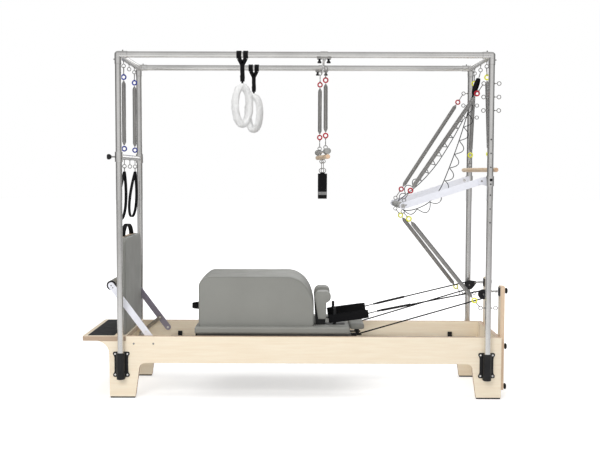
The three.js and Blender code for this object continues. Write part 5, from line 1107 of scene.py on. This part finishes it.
push_screws.make("push_through_bar", "steel", bevel=0)
ribs = ribbed(14.2, 18.5, 20, 1.8, 0.25, 5, 75, 380)
push_grip = Piece("push_bar_grip").add(lathe(ribs, V(613, -190, 1208), Y_AXIS, 40), foam)
push_grip.make("push_through_bar", "upholstery", bevel=0, smooth=60)

for side, s in SIDES:
    top, low = V(POST_EYE_X, s * POST_Y, HIGH_EYE_Z), V(POST_EYE_X, s * POST_Y, LOW_EYE_Z)
    upper = ring_spring(f"{side}_push_spring", top, push_eye(s, *UPPER_EYE), 72, 72, red_ring, None,
        [f"push_spring_{side}"])
    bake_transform(upper)
    lower = ring_spring(f"{side}_lower_spring", low, push_eye(s, *LOWER_EYE), 60, 60, yellow_ring, None,
        [f"lower_spring_{side}"])
    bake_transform(lower)

# Roll-down bar
ROLL_HALF, ROLL_Z = 312, 1434
rolled = Piece("roll_bar")


def roll_x(y):
    """The roll-down bar hangs skewed, nearer to the middle at the back."""
    return POST_X - 46 * y / ROLL_HALF


start, end = V(roll_x(-ROLL_HALF), -ROLL_HALF, ROLL_Z), V(roll_x(ROLL_HALF), ROLL_HALF, ROLL_Z)
span = (end - start).length
profile = [(14, 1.5)] + [(14, span * i / 12) for i in range(1, 12)] + [(14, span - 1.5)]
profile = [(12.5, 0), *profile, (12.5, span)]
rolled.add(lathe(profile, start, end - start, 40), dowel)
for side, s in SIDES:
    y = s * 185
    eye = V(roll_x(y), y, ROLL_Z + 14 + 1.6 * EYE)
    eyebolt(rolled, V(roll_x(y), y, ROLL_Z), eye)
    rolled.add(rod(V(roll_x(y), y, 1447.5), V(roll_x(y), y, 1449.5), 6, 24), wire_steel)
    ring_spring(f"{side}_roll_spring", V(POST_X, s * 200, HUNG_Z), eye, 68, 68, yellow_ring, "roll_down",
        [f"roll_down_spring_{side}"])
rolled.make("roll_down", "dowel_wood", "roll_down_bar", bevel=0)

# Left sliding bar, hanging springs and strap loops
LEFT_BAR_Z, LEFT_EYE_Z, LEFT_EYE_Y = 1507, 1450, 180
TURN = 0.28 * pi
TURNED = V(cos(TURN), sin(TURN), 0)
slider = Piece("left_bar").add(rod_y(-POST_X, -330, 330, LEFT_BAR_Z, 16, 40), steel)
for side, s in SIDES:
    slider.add(pipe(V(-POST_X, s * POST_Y, 1476), V(-POST_X, s * POST_Y, 1538), 24, 4.5, 48), steel)
slider.add(rod_x(-1163, -1187, -POST_Y, LEFT_BAR_Z, 5, 20), wire_steel)
pull = [(0.01, 0), (9, 0), (11, 3), (16, 8), (17, 14), (17, 21), (14, 26), (0.01, 26)]
slider.add(lathe(pull, V(-1187, -POST_Y, LEFT_BAR_Z), V(-1, 0, 0), 32), black)
for i in (-1, 0, 1):
    eyebolt(slider, V(-POST_X, i * LEFT_EYE_Y, LEFT_BAR_Z), V(-POST_X, i * LEFT_EYE_Y, LEFT_EYE_Z))
    slider.add(rod_z(-POST_X, i * LEFT_EYE_Y, 1489, 1492, 6, 6), wire_steel)
slider.make("left_sliding_bar", "aluminium", "left_sliding_bar", bevel=0.7)

for side, s in SIDES:
    y = s * LEFT_EYE_Y
    ring_spring(f"{side}_hanging_spring", V(-POST_X, y, HUNG_Z), V(-POST_X, y, 1561), 70, 0, blue_ring,
        f"hanging_spring_{side}", [f"hanging_spring_{side}"])
    top, foot = LEFT_EYE_Z - 34, 1112
    points = []
    for w in angles(56):
        down = (1 - cos(w)) / 2
        hung = V(-POST_X - 25 * down, y, top - (top - foot) * down)
        points.append(hung + TURNED * (38 * sin(w) * max(down, 0) ** 0.5))
    loop = strap(f"{side}_strap_loop", points, TURNED.cross(V(0, 0, -1)), 26, 4, None, closed=True)
    link = Piece(f"{side}_loop_link")
    line = oval(V(-POST_X, y, LEFT_EYE_Z - 20.4), Y_AXIS, Z_AXIS, 8)
    link.add(sweep(line, 2.1, 10, True, X_AXIS), wire_steel)
    link.make("left_sliding_bar", "steel", f"strap_loop_{side}", bevel=0)
    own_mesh(loop)
    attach(loop, "left_sliding_bar")

# Trapeze
TRAPEZE_X, SLIDE_Z, SLIDE_EYE_Z, SLIDE_EYE_Y, SKEW = 118, 2097, 2072, 150, 15
HANDLE_Z, GRIP_Z, SLING_EYE_Z = 1514, 1549, 1487


def along_bar(y, z):
    """A point over the trapeze bar, which hangs skewed."""
    return V(TRAPEZE_X - SKEW * y / SLIDE_EYE_Y, y, z)


slide = Piece("trapeze_cross_bar").add(rod_y(TRAPEZE_X, -POST_Y, POST_Y, SLIDE_Z, 9, 40), steel)
for side, s in SIDES:
    y = s * POST_Y
    slide.add(pipe(V(96, y, TOP), V(140, y, TOP), 21.5, 2, ROUND), steel)
    slide.add(block(V(74, y - 22, 2106.5), V(162, y + 22, 2111.5)), steel)
    slide.add(rod_z(TRAPEZE_X, y, 2109, SLIDE_Z, 9, 32), steel)
    for dx in (-28, 28):
        x = TRAPEZE_X + dx
        disc = [(0.01, 0), (13, 0), (13, 3), (11.5, 4), (0.01, 4)]
        slide.add(lathe(disc, V(x, y, 2106.5), V(0, 0, -1), 28), black)
        slide.add(rod_z(x, y, 2103, 2098, 3.5, 16), black)
        turned = [(0.01, 0), (4.3, 0), (5, 2), (12.6, 16), (13, 19), (12, 22), (0.01, 22)]
        slide.add(lathe(turned, V(x, y, 2102.5), V(0, 0, -1), 28), black)
    eyebolt(slide, V(TRAPEZE_X, s * SLIDE_EYE_Y, SLIDE_Z), along_bar(s * SLIDE_EYE_Y, SLIDE_EYE_Z))
slide.make("trapeze_slider", "steel", "trapeze_slider", bevel=0.8)

trapeze = Piece("trapeze_handle")
start, end = along_bar(-280, HANDLE_Z), along_bar(280, HANDLE_Z)
span = (end - start).length
profile = [(12.5, 0), (14.5, 2), (14.5, span / 2), (14.5, span - 2), (12.5, span)]
trapeze.add(lathe(profile, start, end - start, 40), dowel)
trapeze.add(rod(along_bar(-278, GRIP_Z), along_bar(278, GRIP_Z), 8, 28), steel)
for side, s in SIDES:
    for y in (278, 182):
        trapeze.add(rod(along_bar(s * y, GRIP_Z), along_bar(s * (y - 5), GRIP_Z), 19.4, 36), foam)
    trapeze.add(rod(along_bar(s * 170, HANDLE_Z), along_bar(s * 170, GRIP_Z), 5.6, 20), steel)
    eye = along_bar(s * 160, GRIP_Z + 8 + 1.5 * EYE)
    eyebolt(trapeze, along_bar(s * 160, GRIP_Z), eye)
    trapeze.add(rod(along_bar(s * 163.5, GRIP_Z), along_bar(s * 156.5, GRIP_Z), 9.4, 28), steel)
    lower = along_bar(s * 52, SLING_EYE_Z)
    eyebolt(trapeze, along_bar(s * 52, HANDLE_Z), lower)
    ring_spring(f"{side}_trapeze_spring", along_bar(s * SLIDE_EYE_Y, SLIDE_EYE_Z), eye, 74, 74, red_ring,
        "trapeze", [f"trapeze_spring_{side}"])
trapeze.make("trapeze", "dowel_wood", "trapeze_bar", bevel=0)
for side, s in SIDES:
    a, b = along_bar(s * 280, GRIP_Z), along_bar(s * 180, GRIP_Z)
    run = (b - a).length
    ribs = ribbed(8.2, 17, 19, 2, 0.3, 4, int(run / 4) - 1, run)
    foam_grip = Piece(f"{side}_trapeze_grip").add(lathe(ribs, a, b - a, 36), foam)
    foam_grip.make("trapeze", "upholstery", bevel=0, smooth=60)

points = []
for i in range(41):
    w = pi * i / 40
    points.append(V(TRAPEZE_X, -52 * cos(w), 1408 - 162 * max(0, sin(w)) ** 0.5))
strap("sling_strap", points, X_AXIS, 58, 6, "sling")
links = Piece("sling_links")
for s in (-1, 1):
    eye = along_bar(s * 52, SLING_EYE_Z)
    at = eye + V(0, 0, -60)
    line = oval(eye - V(0, 0, 25.6), Y_AXIS, Z_AXIS, 13.3)
    links.add(sweep(line, 2.1, 10, True, X_AXIS), wire_steel)
    links.add(ring(at, Y_AXIS, 15, 2.6, 32, 10), wire_steel)
    links.add(band([V(at.x, at.y, at.z - 11), V(TRAPEZE_X, s * 52, 1404)], X_AXIS, 24, 8), webbing)
# A thin grey band on the front of the sling's bend: a painted highlight on the black webbing.
fold = [p + V(0, -2, -2.6) for p in points if p.y < 0 and 1268 < p.z < 1300]
links.add(band(fold, X_AXIS, 57, 0.8), painted_highlight_webbing)
links.make("sling", "steel", "sling", bevel=0)

# Fleece loops on the top tubes
HALF_WIDE, HALF_TALL = 46, 114
HALF_THICK, HALF_DEEP = 21.5, 33
TOP_TURN, FOOT_TURN = 0.30, 0.50
FRONT_X, BACK_X, FLEECE_Z = -381, -350, 1822
for side, s in SIDES:
    x = FRONT_X if s < 0 else BACK_X
    y = s * POST_Y
    top = Piece(f"{side}_fleece_hanger")
    for dx in (-20.5, 20.5):
        top.add(pipe(V(x + dx - 15, y, TOP), V(x + dx + 15, y, TOP), 24, 4.6, 40), webbing)
        path = [V(x + dx, y, TOP - 22), V(x, y, 2069)]
        flat = (path[1] - path[0]).cross(Y_AXIS)
        top.add(band(path, flat, 27, 4), webbing)
    path = [V(x, y, 2078), V(x, y, 2030), V(x + 2, y - 1, 1990), V(x, y, 1971)]
    top.add(band(path, X_AXIS, 27, 4.4), webbing)
    top.add(band([V(x - 2, y - 4, 2004), V(x, y - 7, 1986), V(x, y - 3, 1968)], X_AXIS, 26, 4), webbing)
    top.add(rod_z(x, y, 1976, 1940, 6.4, 20), webbing)
    top.make(f"fleece_loop_{side}", "webbing", bevel=0, smooth=50)
    steps, around_steps = 120, 44
    rings = []
    for w in angles(steps):
        # The wide band is turned a little about the vertical, more towards its foot.
        turn = -s * (TOP_TURN + (FOOT_TURN - TOP_TURN) * (1 - cos(w)) / 2)
        level = V(cos(turn), sin(turn), 0)
        deep = V(-sin(turn), cos(turn), 0)
        p = V(x, y, FLEECE_Z + HALF_TALL * cos(w)) + level * (HALF_WIDE * sin(w))
        along = (level * (HALF_WIDE * cos(w)) + V(0, 0, -HALF_TALL * sin(w))).normalized()
        out = along.cross(deep)
        line = []
        for t in angles(around_steps):
            direction = out * cos(t) + deep * sin(t)
            reach = out * (HALF_THICK * cos(t)) + deep * (HALF_DEEP * sin(t))
            q = p + reach
            clump = noise.noise(q * 0.055 + V(0, 0, x)) * 3.2
            clump += noise.noise(q * 0.17) * 1.7 + noise.noise(q * 0.5) * 0.8
            line.append(q + direction * clump)
        rings.append(line)
    ruff = Piece(f"{side}_fleece").add(loft(rings, True), fleece)
    body = f"fleece_loop_{side}"
    ruff.make(body, "fleece", body, bevel=0, smooth=180)


# Curly cords
def mix(a, b, low, high, u):
    """The point at u, between a at low and b at high."""
    return a * ((high - u) / (high - low)) + b * ((u - low) / (high - low))


def rounded_path(route, count):
    """The route's centripetal curve, as points that are evenly spaced."""
    ends = [route[0] * 2 - route[1], *route, route[-1] * 2 - route[-2]]
    fine = []
    for i in range(1, len(ends) - 2):
        p = ends[i - 1 : i + 3]
        t = [0.0]
        for a, b in zip(p, p[1:]):
            t.append(t[-1] + (b - a).length ** 0.5)
        for k in range(40):
            u = t[1] + (t[2] - t[1]) * k / 40
            a = [mix(p[j], p[j + 1], t[j], t[j + 1], u) for j in range(3)]
            b = [mix(a[j], a[j + 1], t[j], t[j + 2], u) for j in range(2)]
            fine.append(mix(b[0], b[1], t[1], t[2], u))
    fine.append(route[-1])
    lengths = [0.0]
    for a, b in zip(fine, fine[1:]):
        lengths.append(lengths[-1] + (b - a).length)
    out, k = [], 0
    for i in range(count + 1):
        goal = lengths[-1] * i / count
        while k < len(lengths) - 2 and lengths[k + 1] < goal:
            k += 1
        share = (goal - lengths[k]) / max(lengths[k + 1] - lengths[k], 1e-9)
        out.append(fine[k].lerp(fine[k + 1], min(1, max(0, share))))
    return out


def free_cord(name, points, radius, sides, nodes=()):
    """A cord that hangs between the frame and the push-through bar."""
    piece = Piece(name).add(sweep(points, radius, sides), cord_cloth)
    obj = piece.make(None, "webbing", *nodes, bevel=0)
    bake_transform(obj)
    return obj


ROUTES = {
    "back": [(1094, 350, 1781.2), (1011, 300, 1640), (896, 250, 1468), (782, 200, 1346), (669, 140, 1259),
        (625.4, 120, 1224.8)],
    "front": [(1085, 0, 1890), (1003, -60, 1640), (916, -120, 1420), (848, -200, 1297), (777, -246, 1226),
        (690, -262, 1186), (646, -262, 1179), (622, -262, 1182), (614, -262, 1193.4)],
}
CURLS, CURL_STEPS, CURL_RADIUS, CURL_CLEAR = 10, 24, 20, 6
CORE_RADIUS, CURL_WIRE = 2.9, 2.6
for (side, route), hand in zip(ROUTES.items(), (-1, 1)):
    route = [V(*p) for p in route]
    steps = CURLS * CURL_STEPS
    core = rounded_path(route, 60)
    line = rounded_path(route, steps)
    coil = []
    for i, p in enumerate(line):
        share = i / steps
        along = (line[min(i + 1, steps)] - line[max(i - 1, 0)]).normalized()
        out = along.cross(Y_AXIS).normalized()
        deep = along.cross(out).normalized()
        w = 2 * pi * i / CURL_STEPS
        ease = min(1, share * CURLS, (1 - share) * CURLS)
        reach = hand * ease * (CURL_CLEAR + CURL_RADIUS * (1 - cos(w)))
        coil.append(p + out * reach + deep * (CURL_RADIUS * ease * sin(w)))
    free_cord(f"{side}_cord_core", core, CORE_RADIUS, 10, [f"curly_cord_{side}"])
    free_cord(f"{side}_cord_curls", coil, CURL_WIRE, 8)

# The front cord hangs from the middle eye by a hook, a turned webbing loop and a strap
eye_foot, loop_top, cord_top = V(1141, 0, 2066.7), V(1129.5, 0, 2027), V(1085, 0, 1890)
down = (cord_top - loop_top).normalized()
loop_foot = loop_top + down * 104
flat = down.cross(Y_AXIS)
across, side_way = flat * cos(TURN) + Y_AXIS * sin(TURN), Y_AXIS * cos(TURN) - flat * sin(TURN)
hook = Piece("front_cord_hook").add(rod(eye_foot, loop_top, 2.2, 12), wire_steel)
hook.add(rod(eye_foot.lerp(loop_top, 0.35), eye_foot.lerp(loop_top, 0.8), 3.4, 14), wire_steel)
hook.make("frame", "steel", bevel=0)
points = [loop_top.lerp(loop_foot, (1 - cos(w)) / 2) + across * (17 * sin(w)) for w in angles(40)]
strap("front_cord_loop", points, side_way, 22, 4, "frame", closed=True)
strap("front_cord_strap", [loop_foot, loop_foot.lerp(cord_top, 0.5), cord_top + down * 5], flat, 11, 4,
    "frame")

# Floor, world and lights
FLOOR_HALF, FLOOR_Z = 40, -0.0005
floor_mesh = bpy.data.meshes.new("floor")
corners = [(x * FLOOR_HALF, y * FLOOR_HALF, FLOOR_Z) for x, y in ((-1, -1), (1, -1), (1, 1), (-1, 1))]
floor_mesh.from_pydata(corners, [], [(0, 1, 2, 3)])
floor = bpy.data.objects.new("floor", floor_mesh)
bpy.context.scene.collection.objects.link(floor)
ground = Shade("floor", (0.93, 0.93, 0.93), 0.6)
ground.paint(ground.ramp(ground.noise(0.4, 2), (0.925, 0.925, 0.925), (0.94, 0.94, 0.94)))
# The floor is lifted a little for the camera alone, more with distance, so that its shadow stays faint.
away = ground.node("VectorMath", {0: ground.node("NewGeometry").outputs["Position"]}, operation="LENGTH")
rise = ground.span(away.outputs["Value"], 1.8, 5.0, 0.42, 0.8)
strength = ground.math("MULTIPLY", ground.node("LightPath").outputs["Is Camera Ray"], rise)
lift = ground.node("Emission", {"Color": (1, 1, 1, 1), "Strength": strength})
lit = ground.node("AddShader", {0: ground.skin.outputs["BSDF"], 1: lift.outputs["Emission"]})
ground.feed(ground.tree.nodes["Material Output"], {"Surface": lit.outputs["Shader"]})
floor_mesh.materials.append(ground.mat)

world = bpy.data.worlds.new("studio")
bpy.context.scene.world = world
world.use_nodes = True
world.node_tree.nodes.clear()
sky = Graph(world.node_tree)
# Bright in front and behind, dim at both sides, so that tubes show dark lines near their edges.
across, above = sky.node("ValToRGB"), sky.node("ValToRGB")
stops = [(0.0, 1.35), (0.10, 1.25), (0.30, 0.62), (0.50, 0.35), (0.75, 0.22), (1.0, 0.30)]
for position, _ in stops[1:-1]:
    across.color_ramp.elements.new(position)
for ramp, marks in ((across, stops), (above, [(0.60, 0.2), (0.95, 0.9)])):
    for stop, (position, value) in zip(ramp.color_ramp.elements, marks):
        stop.position, stop.color = position, (value, value, value, 1)
split = sky.node("SeparateXYZ", {"Vector": sky.node("TexCoord").outputs["Generated"]})
for axis, ramp in (("Y", across), ("Z", above)):
    sky.feed(ramp, {"Fac": sky.span(split.outputs[axis], -1, 1, 0, 1)})
colors = {"Factor": 1, 6: across.outputs["Color"], 7: above.outputs["Color"]}
both = sky.node("Mix", colors, data_type="RGBA", blend_type="LIGHTEN")
studio = sky.node("Background", {"Color": both.outputs[2], "Strength": 0.60})
white = sky.node("Background", {"Color": (1, 1, 1, 1), "Strength": 1.0})
seen = sky.node("LightPath").outputs["Is Camera Ray"]
chosen = sky.node("MixShader", {"Fac": seen, 1: studio.outputs["Background"], 2: white.outputs["Background"]})
sky.node("OutputWorld", {"Surface": chosen.outputs["Shader"]})


def area(name, place_at, aim, size, power, mirrored=True):
    """A rectangular light; mirrored tells whether glossy surfaces show it."""
    data = bpy.data.lights.new(name, "AREA")
    data.shape, data.size, data.size_y, data.energy = "RECTANGLE", size[0], size[1], power
    lamp = bpy.data.objects.new(name, data)
    lamp.location = place_at
    lamp.rotation_euler = (Vector(aim) - Vector(place_at)).to_track_quat("-Z", "Y").to_euler()
    lamp.visible_glossy = mirrored
    bpy.context.scene.collection.objects.link(lamp)


area("key", (-2.5, -6.0, 4.6), (0, 0, 0.8), (3.5, 3.0), 176, False)
area("top", (0, -0.5, 5.5), (0, 0, 0), (6, 4), 120, False)
area("back_fill", (1.5, 5, 3), (0, 0, 0.5), (5, 3), 55)
bpy.context.scene.view_settings.view_transform = "Standard"
